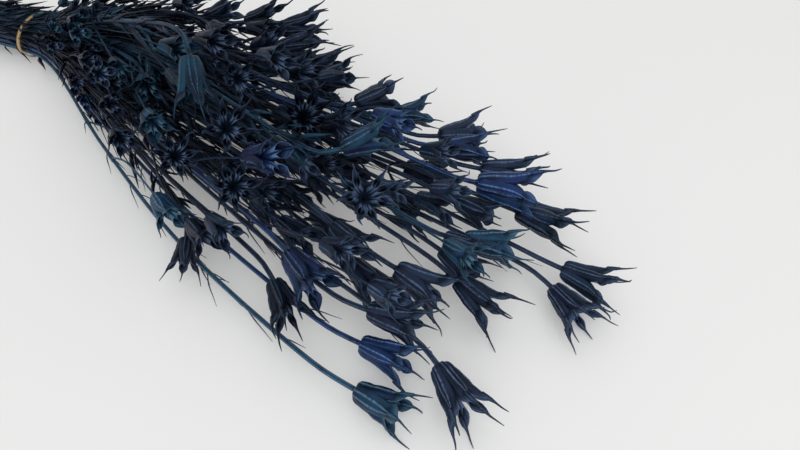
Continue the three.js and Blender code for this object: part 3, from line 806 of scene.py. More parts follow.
@dataclass
class SeedHead:
    """A dried seed head: ribbed follicles grown together below and open above, with thin beaks."""

    shell: Shell
    plan: HeadPlan
    number: float
    tone: float
    draw: Draws
    detail: Detail

    NUMBER_STEP = 0.13

    # The wall, in the sizes of a full head: a pair is where a change starts and how long it takes
    FREE = (11.0, 11.0)
    GROWN_RADIUS = 4.5
    BLUNTNESS = 0.8
    FULLNESS = 0.85
    FULLNESS_FREE = 0.6
    SEAM_POWER = 1.5
    SIDE_LIFT = 2
    SIDE_WARP = 0.5
    MOUTH = (18.5, 4.9)
    MOUTH_POWER = 1.6
    MOUTH_WIDTH = (0.85, 1.5)
    MOUTH_SWELL = 0.35
    MOUTH_RISE = 0.5
    MOUTH_DIP = 0.9
    DIP_POWER = 6
    LEAN = 1.7
    GRAIN_LENGTH = 2.2

    # Waves of the wall: (size, by the height, by the angle, by the phase, by the radius)
    WAVES = ((0.16, 0.55, 2.3, 1.0, 0.0), (0.1, 1.15, -3.1, 2.1, 0.4))
    WAVE_PHASE = 1.7
    WAVE_TURN = 0.1

    # How worn and how papery the wall is
    WORN_LIFT = 0.3
    WORN_LIP = 1.8
    PAPER = (17.0, 6.9)
    PAPER_POWER = 1.3
    PAPER_KEEL = 0.7
    PAPER_SEAM = 0.5

    # The pocket: the point that it goes down towards, as radius and height, and its depths
    POCKET_AIM = (5.2, 9.0)
    POCKET_DEPTH = 8
    # Depth at which the pocket's painted shade is darkest
    HOLLOW_SHADE_DEPTH = 5
    RIM_SHARE = 0.8
    RIM_RIDGE = 0.9
    POCKET_RIDGE = 0.3

    # The beak's middle line: (radius, height, shares of the curl, of the lean and of the sway)
    BEAK_LINE = (
        (8.7, 18.4, 0.0, 0.8, 0.0),
        (10.4, 22.4, 0.0, 1.0, 0.0),
        (11.3, 24.6, 0.0, 1.0, 0.0),
        (12.0, 27.0, 0.2, 0.6, 0.4),
    )
    BEAK_END_RADIUS = 12.7
    BEAK_END_HEIGHT = 22
    BEAK_LENGTH = 8.6
    BEAK_STRETCH = (0.6, 1.24)
    BEAK_SWAY = 2.4
    BEAK_CURL = (-1.0, 2.4)
    BEAK_RADII = (1.1, 1.1, 0.98, 0.76, 0.56, 0.46, 0.41, 0.36, 0.28, 0.14)

    NECK_HEIGHTS = (-4.5, -2.6, -1.3, -0.7, 0.0, 0.9)
    NECK_RADII = (0.86, 0.98, 1.3, 1.95, 2.3, 2.0)
    NECK_POINTS = 12
    NECK_RIBS = 0.12

    def grow(self) -> None:
        """Adds the whole head to the shell."""
        for index, follicle in enumerate(self.plan.follicles):
            self.grow_follicle(follicle, self.number + self.NUMBER_STEP * index)
        self.grow_neck()

    def warp(self, out: Points, angle: Points, height: Points) -> Points:
        """Returns a small slow unevenness of the wall at points by radius, angle and height."""
        phase = self.number * self.WAVE_PHASE
        return sum(
            size * np.sin(rising * height + turning * angle + starting * phase + leaving * out)
            for size, rising, turning, starting, leaving in self.WAVES)

    def grow_follicle(self, follicle: Follicle, number: float) -> None:
        """Adds one follicle with its mouth and beak.

        Args:
            follicle: Its angle, flare and length.
            number: Its own number, for the grain.
        """
        plan = self.plan
        outer, outer_height, inner, inner_height, width = (
            column[:, None] for column in self.detail.rows.T)
        share, lift, hand = self.detail.girth
        free = part_way(outer_height, self.FREE)
        free = free * free * (3 - 2 * free)
        grown = np.clip(outer / self.GROWN_RADIUS, 0, 1)

        # The plain wall: from the keel to the seam, sunk where the seam opens
        fit = math.tan(math.pi / len(plan.follicles)) * VALLEY_RADIUS / WIDEST
        fit = min(max(fit, WIDTH_LIMITS[0]), WIDTH_LIMITS[1])
        fullness = share ** (self.FULLNESS + self.FULLNESS_FREE * free)
        bulge = np.sin(math.pi * np.clip(fullness, 0, 1)) ** self.BLUNTNESS
        across = hand * width * fit * bulge
        # The open seam's groove is also marked as inside, where the finish paints shade
        open_seam = free ** self.SEAM_POWER * (share > LIP[1])
        sunk = share - SEAM_DEPTH * open_seam
        out = outer + (inner - outer) * sunk
        height = outer_height + (inner_height - outer_height) * sunk

        # Its ribs and its unevenness
        uneven = self.warp(out, follicle.angle + across * self.WAVE_TURN, height) * grown
        out = out + (1 - share) * lift * grown + uneven * (1 - share)
        sideways = share * lift * self.SIDE_LIFT * grown
        across = across + hand * (sideways + uneven * self.SIDE_WARP) * bulge

        # Its mouth, and its own flare, length and lean
        lip = part_way(outer_height, self.MOUTH) ** self.MOUTH_POWER
        across = across * (1 + (self.draw.within(self.MOUTH_WIDTH) - 1) * lip)
        out = out + lip * self.MOUTH_SWELL * np.sin(FULL_TURN * share)
        rise = self.MOUTH_RISE * np.sin(math.pi * share) - self.MOUTH_DIP * share ** self.DIP_POWER
        height = height + lip * rise
        out = out * (1 + (follicle.flare - 1) * free)
        height = height * (1 + (follicle.length - 1) * free)
        lean = self.draw.between(-self.LEAN, self.LEAN)
        across = across + lean * free ** 2

        points = plan.axes.around(
            plan.base, out * plan.size, follicle.angle, height * plan.size, across * plan.size)
        rings, around = points.shape[:2]
        along = np.linspace(0, self.GRAIN_LENGTH, rings)[:, None]
        first = self.shell.add(
            points, ridge=self.ridges(free, outer_height), inside=open_seam, tone=self.tone,
            grain=(hand * share, along, number))
        last = self.shell.wall(first, rings, around)
        grain = (hand * share, self.GRAIN_LENGTH, number)
        self.grow_pocket(points[-1], grain, last, follicle)
        self.grow_beak(follicle, number, lean)

    def ridges(self, free: Points, height: Points) -> Points:
        """Returns how worn or papery a wall is, from its rings' freedom and height."""
        share, lift, _ = self.detail.girth
        edge = (share > LIP[0]) & (share < LIP[1])
        worn = np.maximum(np.clip(lift / self.WORN_LIFT, 0, 1), self.WORN_LIP * free ** 2 * edge)
        papery = part_way(height, self.PAPER) ** self.PAPER_POWER
        return np.maximum(worn, papery * (self.PAPER_KEEL + self.PAPER_SEAM * share))

    def grow_pocket(self, mouth: Points, grain: tuple[Points, float, float], ring: int,
                    follicle: Follicle) -> None:
        """Adds the hollow inside of a follicle.

        Args:
            mouth: Points of the mouth's rim.
            grain: Their grain.
            ring: Index of the rim's first point.
            follicle: The follicle that it is in.
        """
        around = len(mouth)
        centre = mouth.mean(axis=0)
        radius, height = self.POCKET_AIM
        down = unit(self.plan.point(radius, follicle.angle, height) - centre)
        for depth, share in self.detail.pocket:
            rim = centre + (mouth - centre) * share + down * depth * self.plan.size
            ridge = self.RIM_RIDGE if share > self.RIM_SHARE else self.POCKET_RIDGE
            # Painted shade: the pocket darkens with depth
            inside = min(1.0, depth / self.HOLLOW_SHADE_DEPTH)
            first = self.shell.add(rim, ridge=ridge, inside=inside, tone=self.tone, grain=grain)
            self.shell.join(ring, first, around)
            ring = first
        bottom = centre + down * self.POCKET_DEPTH * self.plan.size
        middle = self.shell.add(bottom[None, :], inside=1.0, tone=self.tone)
        self.shell.cap(ring, around, middle)

    def grow_beak(self, follicle: Follicle, number: float, lean: float) -> None:
        """Adds the thin beak at a follicle's outer corner.

        Args:
            follicle: The follicle that it is on.
            number: Its own number, for the grain.
            lean: How far the follicle's mouth leans to one side.
        """
        plan = self.plan
        stretch = self.draw.within(self.BEAK_STRETCH)
        sway = lean + self.draw.between(-self.BEAK_SWAY, self.BEAK_SWAY)
        curl = self.draw.within(self.BEAK_CURL)
        end_height = self.BEAK_END_HEIGHT + self.BEAK_LENGTH * stretch
        corners = [
            plan.point(
                (out + curled * curl) * follicle.flare, follicle.angle, height * follicle.length,
                leaning * lean + swaying * sway)
            for out, height, curled, leaning, swaying in (
                *self.BEAK_LINE, (self.BEAK_END_RADIUS, end_height, 1.0, 0.0, 1.0))]
        line = flowing(corners, self.detail.beak_step * plan.size)
        places = np.linspace(0, len(self.BEAK_RADII) - 1, len(line))
        radii = np.interp(places, range(len(self.BEAK_RADII)), self.BEAK_RADII) * plan.size
        Stalk(line, radii, self.detail.beak_sides, 0.0, number, self.tone).grow(self.shell)

    def grow_neck(self) -> None:
        """Adds the small collar where the stem swells into the head."""
        plan = self.plan
        heights = np.array(self.NECK_HEIGHTS)[:, None]
        radii = np.array(self.NECK_RADII) * plan.size
        line = plan.base + heights * plan.size * plan.axes.direction
        neck = Stalk(line, radii, self.NECK_POINTS, self.NECK_RIBS, self.number, self.tone)
        neck.grow(self.shell)


@dataclass(frozen=True)
class Fringe:
    """How many thin threads a spray has, where they start on its stem and how far they reach."""

    tendrils: tuple[int, int]
    branchlets: tuple[int, int]
    place: tuple[float, float]
    out: tuple[float, float]


# The inner sprays' many thick, dark threads stand for dried leaf threads, and also fill the mass's
# gaps where there is only shade: partly painted shade
INNER_FRINGE = Fringe(tendrils=(74, 90), branchlets=(20, 26), place=(0.16, 0.93), out=(0.1, 0.7))
OUTER_FRINGE = Fringe(tendrils=(16, 22), branchlets=(0, 2), place=(0.36, 0.93), out=(0.1, 0.5))


@dataclass
class Spray:
    """One spray: a main stem with its seed head, side stems with theirs, and thin dry threads."""

    plan: SprayPlan
    node: bpy.types.Object
    material: bpy.types.Material
    slot: str
    shell: Shell = field(init=False, default_factory=Shell)
    draw: Draws = field(init=False)
    head: HeadPlan = field(init=False)
    sides: list[SidePlan] = field(init=False)
    line: Points = field(init=False)

    SEED = 5003
    OUTER_SPRAYS = 18

    # Shades of its parts: each is paler far from the band than near it, as painted light on the
    # outer heads that lie clear of the crowded mass
    BASE_TONE = (0.15, 0.7)
    PALER_FROM = 210.0
    PALER_OVER = 90.0
    PALER_BY = 0.35
    STEM_TONE = 0.25
    HEAD_TONE = (-0.2, 0.2)
    SIDE_TONE = (-0.15, 0.35)
    # Threads are darker than the stems and heads; in the inner sprays this is partly painted shade
    # for the depths of the mass
    TENDRIL_TONE = 0.3
    BRANCHLET_TONE = 0.1

    # Numbers of its parts, for the grain
    NUMBERS = 10.0
    SIDE_NUMBER = 2
    TENDRIL_NUMBER = 7
    BRANCHLET_NUMBER = 8
    SIDE_SEED_STEP = 31

    RING_SPACING = 6.0
    STEM_POINTS = 10
    STEM_RIBS = 0.14
    KNOT_SIZE = 0.35
    KNOT_REACH = 4.0
    SIDE_SPACING = 4.0
    SIDE_POINTS = 8
    SIDE_RIBS = 0.1
    SIDE_TAPER = (1.15, 0.9)

    # Threads end below the top of the bunch. A curve is (share of the length, bend outward)
    TALLEST = 80.0
    THREAD_POINTS = 4
    TENDRIL_LENGTH = (8.0, 24.0)
    TENDRIL_CURVE = ((0.0, 1.0), (0.35, 0.7), (0.7, 0.8), (1.0, 1.3))
    TENDRIL_SPACING = 2.8
    TENDRIL_WIDEST_AT = 0.4
    TENDRIL_WIDEST = (0.4, 1.5)
    TENDRIL_NARROW = 0.3
    TENDRIL_ENDS = (0.24, 0.08)
    BRANCHLET_START = (0.2, 0.62)
    BRANCHLET_LENGTH = (0.18, 0.34)
    BRANCHLET_OUT = (3.0, 9.0)
    BRANCHLET_SHARES = (0.0, 0.3, 0.65, 1.0)
    BRANCHLET_RISE = 0.8
    BRANCHLET_WANDER = 1.2
    BRANCHLET_TURN = 0.3
    BRANCHLET_SPACING = 6.0
    BRANCHLET_RADII = (0.6, 0.22)

    def __post_init__(self) -> None:
        """Finds the tries that the spray's solid was made from, and its middle line."""
        corners = Corners.of(self.node)
        self.draw = Draws(self.SEED * (self.plan.index + 1))
        self.head = corners.main_head(self.plan)
        path = self.plan.path(self.head)
        self.sides = corners.side_stems(self.plan, path)
        self.line = flowing(path, self.RING_SPACING)

    @property
    def name(self) -> str:
        """Returns the piece's name."""
        return f"seed_spray_{self.plan.index + 1:02d}"

    @property
    def number(self) -> float:
        """Returns the first of the spray's numbers for the grain."""
        return self.NUMBERS * (self.plan.index + 1)

    @property
    def fringe(self) -> Fringe:
        """Returns what threads it has. The sprays of the outline have few."""
        return OUTER_FRINGE if self.plan.index < self.OUTER_SPRAYS else INNER_FRINGE

    def build(self) -> bpy.types.Object:
        """Makes and dresses the spray, and returns the finished piece."""
        draw = self.draw
        # Painted light: heads far from the band, clear of the mass, are made paler
        painted_light_share = min(max((self.head.base[0] - self.PALER_FROM) / self.PALER_OVER, 0.0), 1.0)
        base_tone = draw.within(self.BASE_TONE) + self.PALER_BY * painted_light_share
        self.grow_main_stem(base_tone + self.STEM_TONE)
        tone = base_tone + draw.within(self.HEAD_TONE)
        SeedHead(self.shell, self.head, self.number, tone, draw, MAIN_DETAIL).grow()
        for order, side in enumerate(self.sides):
            tone = base_tone + draw.within(self.SIDE_TONE)
            self.grow_side(side, self.number + self.SIDE_NUMBER + order, tone)
        for _ in range(round(draw.within(self.fringe.tendrils))):
            self.grow_tendril(self.TENDRIL_TONE * base_tone)
        for _ in range(round(draw.within(self.fringe.branchlets))):
            self.grow_branchlet(self.BRANCHLET_TONE * base_tone)
        piece = bpy.data.objects.new(self.name, self.shell.mesh(self.name))
        bpy.context.scene.collection.objects.link(piece)
        piece.data.materials.append(self.material)
        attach(piece, "root")
        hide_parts(self.node.name)
        return piece

    def grow_main_stem(self, tone: float) -> None:
        """Adds the main stem, thicker at the band and with a small knot at each side stem."""
        line = self.line
        radii = np.interp(
            line[:, 0], (0.0, FREE_FROM_BAND, line[-1, 0]),
            (STEM_RADIUS_AT_BAND, STEM_RADIUS_FREE, STEM_RADIUS_AT_HEAD))
        for side in self.sides:
            away = np.linalg.norm(line - side.path[0], axis=1)
            radii = radii * (1 + self.KNOT_SIZE * np.exp(-(away / self.KNOT_REACH) ** 2))
        stem = Stalk(line, radii, self.STEM_POINTS, self.STEM_RIBS, self.number, tone)
        stem.grow(self.shell, cut=True)

    def grow_side(self, side: SidePlan, number: float, tone: float) -> None:
        """Adds a side stem and its head, with their own number for the grain and their shade."""
        start = self.line[np.argmin(np.linalg.norm(self.line - side.path[0], axis=1))]
        line = flowing([start, *side.path[1:]], self.SIDE_SPACING)
        first, last = (SIDE_STEM_RADIUS * taper for taper in self.SIDE_TAPER)
        radii = np.linspace(first, last, len(line))
        Stalk(line, radii, self.SIDE_POINTS, self.SIDE_RIBS, number, tone).grow(self.shell)
        draw = Draws(round(number * self.SIDE_SEED_STEP))
        SeedHead(self.shell, side.head, number, tone, draw, SIDE_DETAIL).grow()

    def in_reach(self, corners: list[Points]) -> bool:
        """Tells whether a thread keeps off the table and below the top of the bunch."""
        heights = [corner[2] for corner in corners]
        return min(heights) >= FLOOR_GAP and max(heights) <= self.TALLEST

    def axes_at(self, place: int) -> Axes:
        """Returns the axes of the main stem at one of its points."""
        return Axes.along(unit(self.line[place + 1] - self.line[place]))

    def grow_tendril(self, tone: float) -> None:
        """Adds one thin dry leaf thread to the stem."""
        draw, line = self.draw, self.line
        place = int(draw.within(self.fringe.place) * (len(line) - 1))
        axes = self.axes_at(place)
        azimuth = draw.between(0, FULL_TURN)
        length = draw.within(self.TENDRIL_LENGTH)
        out = length * draw.within(self.fringe.out)
        corners = [
            axes.around(line[place], out * share ** curve, azimuth, length * share)
            for share, curve in self.TENDRIL_CURVE]
        if not self.in_reach(corners):
            return
        thread = flowing(corners, self.TENDRIL_SPACING)
        inner = self.fringe is INNER_FRINGE
        widest = draw.within(self.TENDRIL_WIDEST) if inner else self.TENDRIL_NARROW
        first, last = self.TENDRIL_ENDS
        radii = np.interp(
            np.linspace(0, 1, len(thread)), (0.0, self.TENDRIL_WIDEST_AT, 1.0),
            (first, widest, last))
        number = self.number + self.TENDRIL_NUMBER
        Stalk(thread, radii, self.THREAD_POINTS, 0.0, number, tone).grow(self.shell)

    def grow_branchlet(self, tone: float) -> None:
        """Adds one long thin dry branchlet that runs beside the stem."""
        draw, line = self.draw, self.line
        first = int(draw.within(self.BRANCHLET_START) * (len(line) - 1))
        last = first + int(draw.within(self.BRANCHLET_LENGTH) * len(line))
        last = min(last, len(line) - 2)
        azimuth = draw.between(0, FULL_TURN)
        out = draw.within(self.BRANCHLET_OUT)
        corners = []
        for share in self.BRANCHLET_SHARES:
            place = first + round(share * (last - first))
            wander = self.BRANCHLET_WANDER * draw.between(-1, 1) * share
            turn = draw.between(-self.BRANCHLET_TURN, self.BRANCHLET_TURN) * share
            away = out * share ** self.BRANCHLET_RISE + wander
            corners.append(self.axes_at(place).around(line[place], away, azimuth + turn, 0.0))
        if not self.in_reach(corners):
            return
        thread = flowing(corners, self.BRANCHLET_SPACING)
        radii = np.linspace(*self.BRANCHLET_RADII, len(thread))
        number = self.number + self.BRANCHLET_NUMBER
        Stalk(thread, radii, self.THREAD_POINTS, 0.0, number, tone).grow(self.shell)


@dataclass
class RubberBand:
    """The tan rubber band round the bundle, with rounded edges and a flat spot to rest on."""

    node: bpy.types.Object
    material: bpy.types.Material

    NAME = "tan_rubber_band"
    HALF_WIDTH = 1.6
    INNER_ACROSS = 17.0
    INNER_HEIGHT = 11.7
    THICKNESS = 1.2
    ROUNDING = 0.4
    CORNER_POINTS = 4
    STEPS = 144
    GRAIN_TURNS = 15

    # How the band wavers along the stems: (size, waves in a turn, where they start)
    WAVES = ((0.12, 3, 0), (0.07, 7, 1))
    EDGE_CALM = 0.2

    def build(self) -> bpy.types.Object:
        """Makes and dresses the band, and returns the finished piece."""
        shell = Shell()
        profile = self.profile()
        around = len(profile)
        turn = ((np.arange(self.STEPS) + 0.5) * FULL_TURN / self.STEPS)[:, None]
        depth, along = profile.T
        across = (self.INNER_ACROSS + depth) * np.cos(turn)
        height = BUNDLE_HEIGHT + (self.INNER_HEIGHT + depth) * np.sin(turn)
        sway = sum(wide * np.sin(waves * turn + start) for wide, waves, start in self.WAVES)
        calm = 1 - np.abs(along) / self.HALF_WIDTH * self.EDGE_CALM
        points = np.stack([FAN_TO_BAND + along + sway * calm, across, np.maximum(height, 0.0)], -1)
        grain = (along, turn * self.GRAIN_TURNS, 0.0)
        first = shell.add(points, ridge=depth / self.THICKNESS, grain=grain)
        last = shell.wall(first, self.STEPS, around)
        shell.join(last, first, around)
        piece = bpy.data.objects.new(self.NAME, shell.mesh(self.NAME))
        bpy.context.scene.collection.objects.link(piece)
        piece.data.materials.append(self.material)
        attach(piece, "root")
        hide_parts(self.node.name)
        return piece

    def profile(self) -> Points:
        """Returns the band's rounded section as rows of depth and place along the stems."""
        points = []
        for depth, side, first in (
                (self.THICKNESS, -1, 180), (0.0, -1, 270), (0.0, 1, 0), (self.THICKNESS, 1, 90)):
            corner = vector(depth, side * self.HALF_WIDTH, 0)
            inward = vector(self.THICKNESS / 2 - depth, -side, 0)
            centre = corner + np.sign(inward) * self.ROUNDING
            for angle in np.linspace(first - 90, first, self.CORNER_POINTS):
                radians = math.radians(angle)
                outward = vector(-math.sin(radians), -math.cos(radians), 0)
                points.append(centre + self.ROUNDING * outward)
        return np.array(points)[:, :2]


def operator(operation: str, swapped: bool = False) -> Callable[..., "Socket"]:
    """Returns a method for a math node, which may take the other value first."""
    def summed(self: "Socket", other: "Socket | float") -> "Socket":
        """Returns the sum."""
        inputs = [other, self] if swapped else [self, other]
        return self.tree.node("ShaderNodeMath", {"operation": operation}, inputs)

    return summed


class Socket:
    """A shader socket that can be used in sums."""

    def __init__(self, tree: "ShaderTree", socket: bpy.types.NodeSocket) -> None:
        """Wraps a socket of a tree."""
        self.tree = tree
        self.socket = socket

    __add__ = __radd__ = operator("ADD")
    __sub__ = operator("SUBTRACT")
    __rsub__ = operator("SUBTRACT", swapped=True)
    __mul__ = __rmul__ = operator("MULTIPLY")

    def ramp(self, low: float, high: float) -> "Socket":
        """Returns a smooth step from 0 at low to 1 at high."""
        settings = {"interpolation_type": "SMOOTHSTEP"}
        return self.tree.node("ShaderNodeMapRange", settings, [self, low, high, 0.0, 1.0])


class ShaderTree:
    """A material's node tree, built from one method for nodes."""

    def __init__(self, name: str) -> None:
        """Makes a material with an empty Principled surface."""
        self.material = bpy.data.materials.new(name)
        self.material.use_nodes = True
        self.nodes = self.material.node_tree.nodes
        self.links = self.material.node_tree.links
        self.surface = self.nodes["Principled BSDF"]

    def node(self, kind: str, settings: dict[str, object] | None = None,
             inputs: Sequence[object] | dict[str, object] = (), output: int | str = 0) -> Socket:
        """Adds a node.

        Args:
            kind: Its type.
            settings: Its own settings, set before its sockets.
            inputs: Values or sockets, in order or by name.
            output: Which of its outputs is given back.

        Returns:
            The output.
        """
        node = self.nodes.new(kind)
        for key, value in (settings or {}).items():
            setattr(node, key, value)
        pairs = inputs.items() if isinstance(inputs, dict) else enumerate(inputs)
        for key, value in pairs:
            self.feed(node.inputs[key], value)
        return Socket(self, node.outputs[output])

    def feed(self, socket: bpy.types.NodeSocket, value: object) -> None:
        """Links or sets a socket."""
        if isinstance(value, Socket):
            self.links.new(value.socket, socket)
        else:
            socket.default_value = value

    def value(self, label: str) -> Socket:
        """Returns a number that the mesh carries at each point."""
        return self.node("ShaderNodeAttribute", {"attribute_name": label}, output="Fac")

    def grain(self, across: float, along: float) -> Socket:
        """Returns the mesh's own round-and-along coordinates, scaled."""
        carried = self.node("ShaderNodeAttribute", {"attribute_name": "grain"}, output="Vector")
        return self.node(
            "ShaderNodeVectorMath", {"operation": "MULTIPLY"}, [carried, (across, along, 1.0)])

    def noise(self, place: Socket, scale: float, detail: float, rough: float = 0.55) -> Socket:
        """Returns a noise between 0 and 1."""
        return self.node(
            "ShaderNodeTexNoise", {"noise_dimensions": "3D"},
            {"Vector": place, "Scale": scale, "Detail": detail, "Roughness": rough}, "Fac")

    def streaks(self, across: float, along: float, *noise: float) -> Socket:
        """Returns a noise that is drawn out across or along the part."""
        return self.noise(self.grain(across, along), 1.0, *noise)

    def mix(self, factor: Socket | float, first: object, second: object) -> Socket:
        """Returns a colour between two."""
        return self.node(
            "ShaderNodeMix", {"data_type": "RGBA"}, {0: factor, 6: first, 7: second}, 2)

    def bump(self, height: Socket, strength: float, distance: float) -> Socket:
        """Returns a normal raised by a height."""
        inputs = {"Height": height, "Strength": strength, "Distance": distance}
        return self.node("ShaderNodeBump", {}, inputs, "Normal")

    def finish(self, **surface: object) -> bpy.types.Material:
        """Feeds the surface's sockets, with spaces for underscores, and returns the material."""
        for key, value in surface.items():
            self.feed(self.surface.inputs[key.replace("_", " ")], value)
        return self.material


def srgb(red: int, green: int, blue: int) -> Colour:
    """Returns a colour for a socket from the numbers of a colour on the screen."""
    def linear(value: int) -> float:
        """Returns one channel in linear light."""
        share = value / 255
        return share / 12.92 if share <= 0.04045 else ((share + 0.055) / 1.055) ** 2.4

    return linear(red), linear(green), linear(blue), 1.0


@dataclass(frozen=True)
class DyedFinish:
    """The finish of a dyed dry plant: a dark body that drifts in hue, worn ridges, fibres along it,
    ladder wrinkles across it, pale cut ends and painted shade in its sunk seams and pockets."""

    dye: Dye
    body: Colour
    light: Colour
    cool: Colour
    warm: Colour
    ridge: Colour
    roughness: float

    PITH = srgb(96, 110, 128)
    # Painted shade for the sunk seams and the depths of the open pockets
    HOLLOW_SHADE = srgb(4, 5, 10)
    SHEEN = srgb(158, 182, 228)
    SPECULAR = 0.4

    # Noises: (scale across, scale along, detail), and the fibres' own roughness
    FIBRES = (24.0, 1.4, 4.0, 0.6)
    BLOTCHES = (1.2, 1.0, 2.0)
    DRIFT = (0.9, 0.6, 1.0)
    LADDER = (2.0, 17.0, 2.0)

    # What the shade comes from, in the order tone, blotches and fibres, and its range
    SHADE = (0.8, 3.0, 1.3)
    SHADE_RANGE = (0.05, 1.15)
    HUE_RANGE = (0.52, 0.72)
    COOL_SHARE = 0.75
    WARM_SHARE = 0.6
    # How strongly the painted shade darkens the sunk seams and pockets
    HOLLOW_SHADE_SHARE = 0.8

    # How ridges wear: (at least, by the fibres, by the ladder), and (at least, by the tone)
    WEAR = (0.28, 0.7, 1.3)
    WEAR_TONE = (0.5, 0.6)
    WEAR_RANGE = (0.1, 1.1)

    # Relief: shares of the fibres and of the ladder, then strength and height in metres
    RELIEF = (0.35, 0.65)
    BUMP = (0.5, 0.0007)
    ROUGHER = (0.22, 0.2, 0.3)

    def material(self) -> bpy.types.Material:
        """Returns the finish as a material."""
        tree = ShaderTree(self.dye.value)
        ridge, inside, cut, tone = (tree.value(name) for name in Shell.LABELS)
        fibres, blotches, drift, ladder = (
            tree.streaks(*noise)
            for noise in (self.FIBRES, self.BLOTCHES, self.DRIFT, self.LADDER))

        by_tone, by_blotches, by_fibres = self.SHADE
        shade = tone * by_tone + (blotches - 0.5) * by_blotches + (fibres - 0.5) * by_fibres
        colour = tree.mix(shade.ramp(*self.SHADE_RANGE), self.body, self.light)
        cooler = drift.ramp(*self.HUE_RANGE) * self.COOL_SHARE
        colour = tree.mix(cooler, colour, self.cool)
        warmer = (1 - drift).ramp(*self.HUE_RANGE) * self.WARM_SHARE
        colour = tree.mix(warmer, colour, self.warm)

        least, by_fibres, by_ladder = self.WEAR
        pale, by_tone = self.WEAR_TONE
        worn = ridge * (least + fibres * by_fibres + (ladder - 0.5) * by_ladder)
        worn = worn * (pale + tone * by_tone)
        colour = tree.mix(worn.ramp(*self.WEAR_RANGE), colour, self.ridge)
        # Painted shade: darker in the sunk open seams and down in the pockets
        colour = tree.mix(inside * self.HOLLOW_SHADE_SHARE, colour, self.HOLLOW_SHADE)
        colour = tree.mix(cut, colour, self.PITH)

        by_fibres, by_ladder = self.RELIEF
        normal = tree.bump(fibres * by_fibres + ladder * by_ladder, *self.BUMP)
        by_ladder, by_blotches, by_inside = self.ROUGHER
        rough = self.roughness + (ladder - 0.5) * by_ladder + (blotches - 0.5) * by_blotches
        return tree.finish(
            Base_Color=colour, Roughness=rough + inside * by_inside, Normal=normal,
            Specular_IOR_Level=self.SPECULAR, Specular_Tint=self.SHEEN)


@dataclass(frozen=True)
class RubberFinish:
    """Matte tan rubber, paler where it is stretched and faintly grained along."""

    body: Colour = srgb(196, 164, 112)
    pale: Colour = srgb(222, 196, 148)
    roughness: float = 0.62
    specular: float = 0.35

    # Noises: (scale across, scale along, detail). Pairs are shares of the streaks and the specks
    STREAKS = (4.0, 0.25, 4.0)
    SPECKS = (9.0, 6.0, 2.0)
    SHADE = (0.7, 0.3)
    SHADE_RANGE = (0.3, 0.7)
    RELIEF = (0.6, 0.4)
    BUMP = (0.25, 0.0002)
    ROUGHER = 0.2

    def material(self) -> bpy.types.Material:
        """Returns the finish as a material."""
        tree = ShaderTree("rubber_tan")
        streaks = tree.streaks(*self.STREAKS)
        specks = tree.streaks(*self.SPECKS)
        shade, relief = (
            streaks * first + specks * second for first, second in (self.SHADE, self.RELIEF))
        colour = tree.mix(shade.ramp(*self.SHADE_RANGE), self.body, self.pale)
        return tree.finish(
            Base_Color=colour, Roughness=self.roughness + (specks - 0.5) * self.ROUGHER,
            Normal=tree.bump(relief, *self.BUMP), Specular_IOR_Level=self.specular)


DYES = {
    Dye.NAVY: DyedFinish(
        dye=Dye.NAVY, body=srgb(7, 9, 16), light=srgb(36, 48, 70), cool=srgb(12, 36, 53),
        warm=srgb(26, 23, 48), ridge=srgb(94, 116, 150), roughness=0.4),
    Dye.ROYAL: DyedFinish(
        dye=Dye.ROYAL, body=srgb(7, 13, 31), light=srgb(29, 50, 98), cool=srgb(14, 50, 80),
        warm=srgb(28, 30, 72), ridge=srgb(106, 142, 196), roughness=0.38),
    Dye.TEAL: DyedFinish(
        dye=Dye.TEAL, body=srgb(7, 18, 32), light=srgb(33, 66, 94), cool=srgb(22, 68, 88),
        warm=srgb(22, 32, 64), ridge=srgb(96, 136, 162), roughness=0.4),
}


@dataclass(frozen=True)
class Softbox:
    """One round soft light: its place, the point that it faces, its width and its power."""

    name: str
    place: tuple[float, float, float]
    aim: tuple[float, float, float]
    size: float
    watts: float

    COLOUR = (0.96, 0.985, 1.0)

    def build(self) -> None:
        """Makes the light."""
        light = bpy.data.lights.new(self.name, "AREA")
        light.shape = "DISK"
        light.size = self.size
        light.energy = self.watts
        light.color = self.COLOUR
        lamp = bpy.data.objects.new(self.name, light)
        lamp.location = self.place
        away = Vector(self.place) - Vector(self.aim)
        lamp.rotation_euler = away.to_track_quat("Z", "Y").to_euler()
        bpy.context.scene.collection.objects.link(lamp)


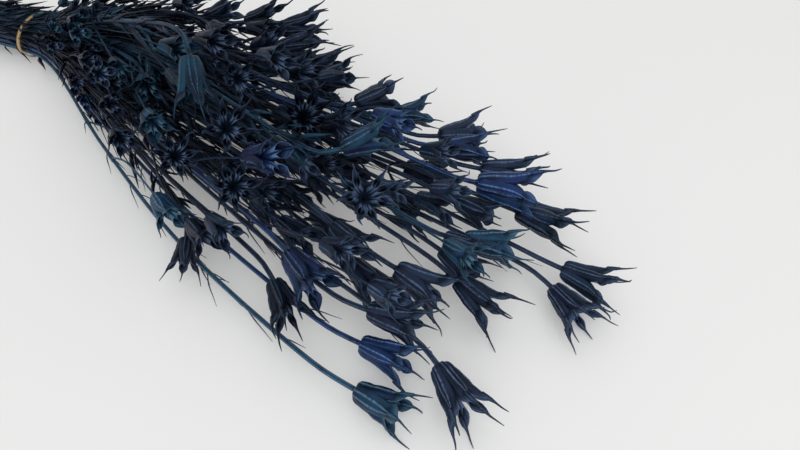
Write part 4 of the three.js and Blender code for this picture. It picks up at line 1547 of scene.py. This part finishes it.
@dataclass(frozen=True)
class Studio:
    """The pale table with a faint painted glow, the even surroundings, the soft lights and the
    camera.
    """

    table: Colour = srgb(220, 221, 222)
    table_clouds: Colour = srgb(226, 227, 227)
    # Painted light: the table glows faintly to lift the shadows on it
    painted_floor_glow: Colour = (1.0, 0.99, 0.965, 1.0)
    painted_floor_glow_strength: float = 0.2
    sky: Colour = (1.0, 0.99, 0.97, 1.0)
    sky_strength: float = 0.6
    softboxes: tuple[Softbox, ...] = (
        Softbox("far_softbox", (-0.1, 0.9, 1.7), (0.2, 0.0, 0.0), size=1.6, watts=3.0),
        Softbox("near_softbox", (0.7, -1.0, 1.2), (0.3, -0.1, 0.0), size=1.7, watts=8.6),
    )
    camera_place: tuple[float, float, float] = (0.349, -0.260, 0.237)
    camera_turn: tuple[float, float, float] = (42.0, 0.0, 21.0)
    lens: float = 28.8

    TABLE_REACH = 6.0
    CLOUDS = (3.0, 2.0)
    TABLE_ROUGHNESS = 0.6
    TABLE_SPECULAR = 0.2
    CAMERA_NEAR = 0.01

    def build(self) -> None:
        """Makes them all."""
        self.build_table()
        self.build_surroundings()
        bpy.context.scene.view_settings.view_transform = "Standard"
        for softbox in self.softboxes:
            softbox.build()
        self.build_camera()

    def build_table(self) -> None:
        """Makes the pale table that the bunch rests on, with a faint painted glow that lifts the
        shadows on it.
        """
        mesh = bpy.data.meshes.new("pale_table")
        corners = [(x * self.TABLE_REACH, y * self.TABLE_REACH, 0)
                   for x, y in ((-1, -1), (1, -1), (1, 1), (-1, 1))]
        mesh.from_pydata(corners, [], [(0, 1, 2, 3)])
        floor = bpy.data.objects.new("pale_table", mesh)
        bpy.context.scene.collection.objects.link(floor)
        tree = ShaderTree("pale_table")
        place = tree.node("ShaderNodeTexCoord", output="Object")
        colour = tree.mix(tree.noise(place, *self.CLOUDS), self.table, self.table_clouds)
        mesh.materials.append(tree.finish(
            Base_Color=colour, Roughness=self.TABLE_ROUGHNESS,
            Specular_IOR_Level=self.TABLE_SPECULAR, Emission_Color=self.painted_floor_glow,
            Emission_Strength=self.painted_floor_glow_strength))

    def build_surroundings(self) -> None:
        """Makes the even white surroundings."""
        world = bpy.data.worlds.new("studio")
        bpy.context.scene.world = world
        world.use_nodes = True
        background = world.node_tree.nodes["Background"]
        background.inputs["Color"].default_value = self.sky
        background.inputs["Strength"].default_value = self.sky_strength

    def build_camera(self) -> None:
        """Makes the camera at the photo's angle."""
        camera = bpy.data.cameras.new("camera")
        camera.lens = self.lens
        camera.clip_start = self.CAMERA_NEAR
        viewer = bpy.data.objects.new("camera", camera)
        viewer.location = self.camera_place
        viewer.rotation_euler = tuple(math.radians(angle) for angle in self.camera_turn)
        bpy.context.scene.collection.objects.link(viewer)
        bpy.context.scene.camera = viewer


def main() -> None:
    """Builds the bunch piece by piece and reports each one."""
    logging.basicConfig(level=logging.INFO, format="%(message)s")
    Studio().build()
    materials = {dye: finish.material() for dye, finish in DYES.items()}
    total = 0
    for plan in planned_sprays():
        number = plan.index + 1
        dye = DYE_OF_SPRAY.get(number, Dye.NAVY)
        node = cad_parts[f"spray_{number:02d}"]
        spray = Spray(plan, node, materials[dye], dye.value)
        piece = spray.build()
        triangles = sum(len(face.vertices) - 2 for face in piece.data.polygons)
        total += triangles
        LOG.info("%s: %d side stems, %d triangles", piece.name, len(spray.sides), triangles)
    band = RubberBand(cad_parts["rubber_band"], RubberFinish().material()).build()
    LOG.info("%s, and %d triangles in the sprays", band.name, total)


if __name__ == "__main__":
    main()
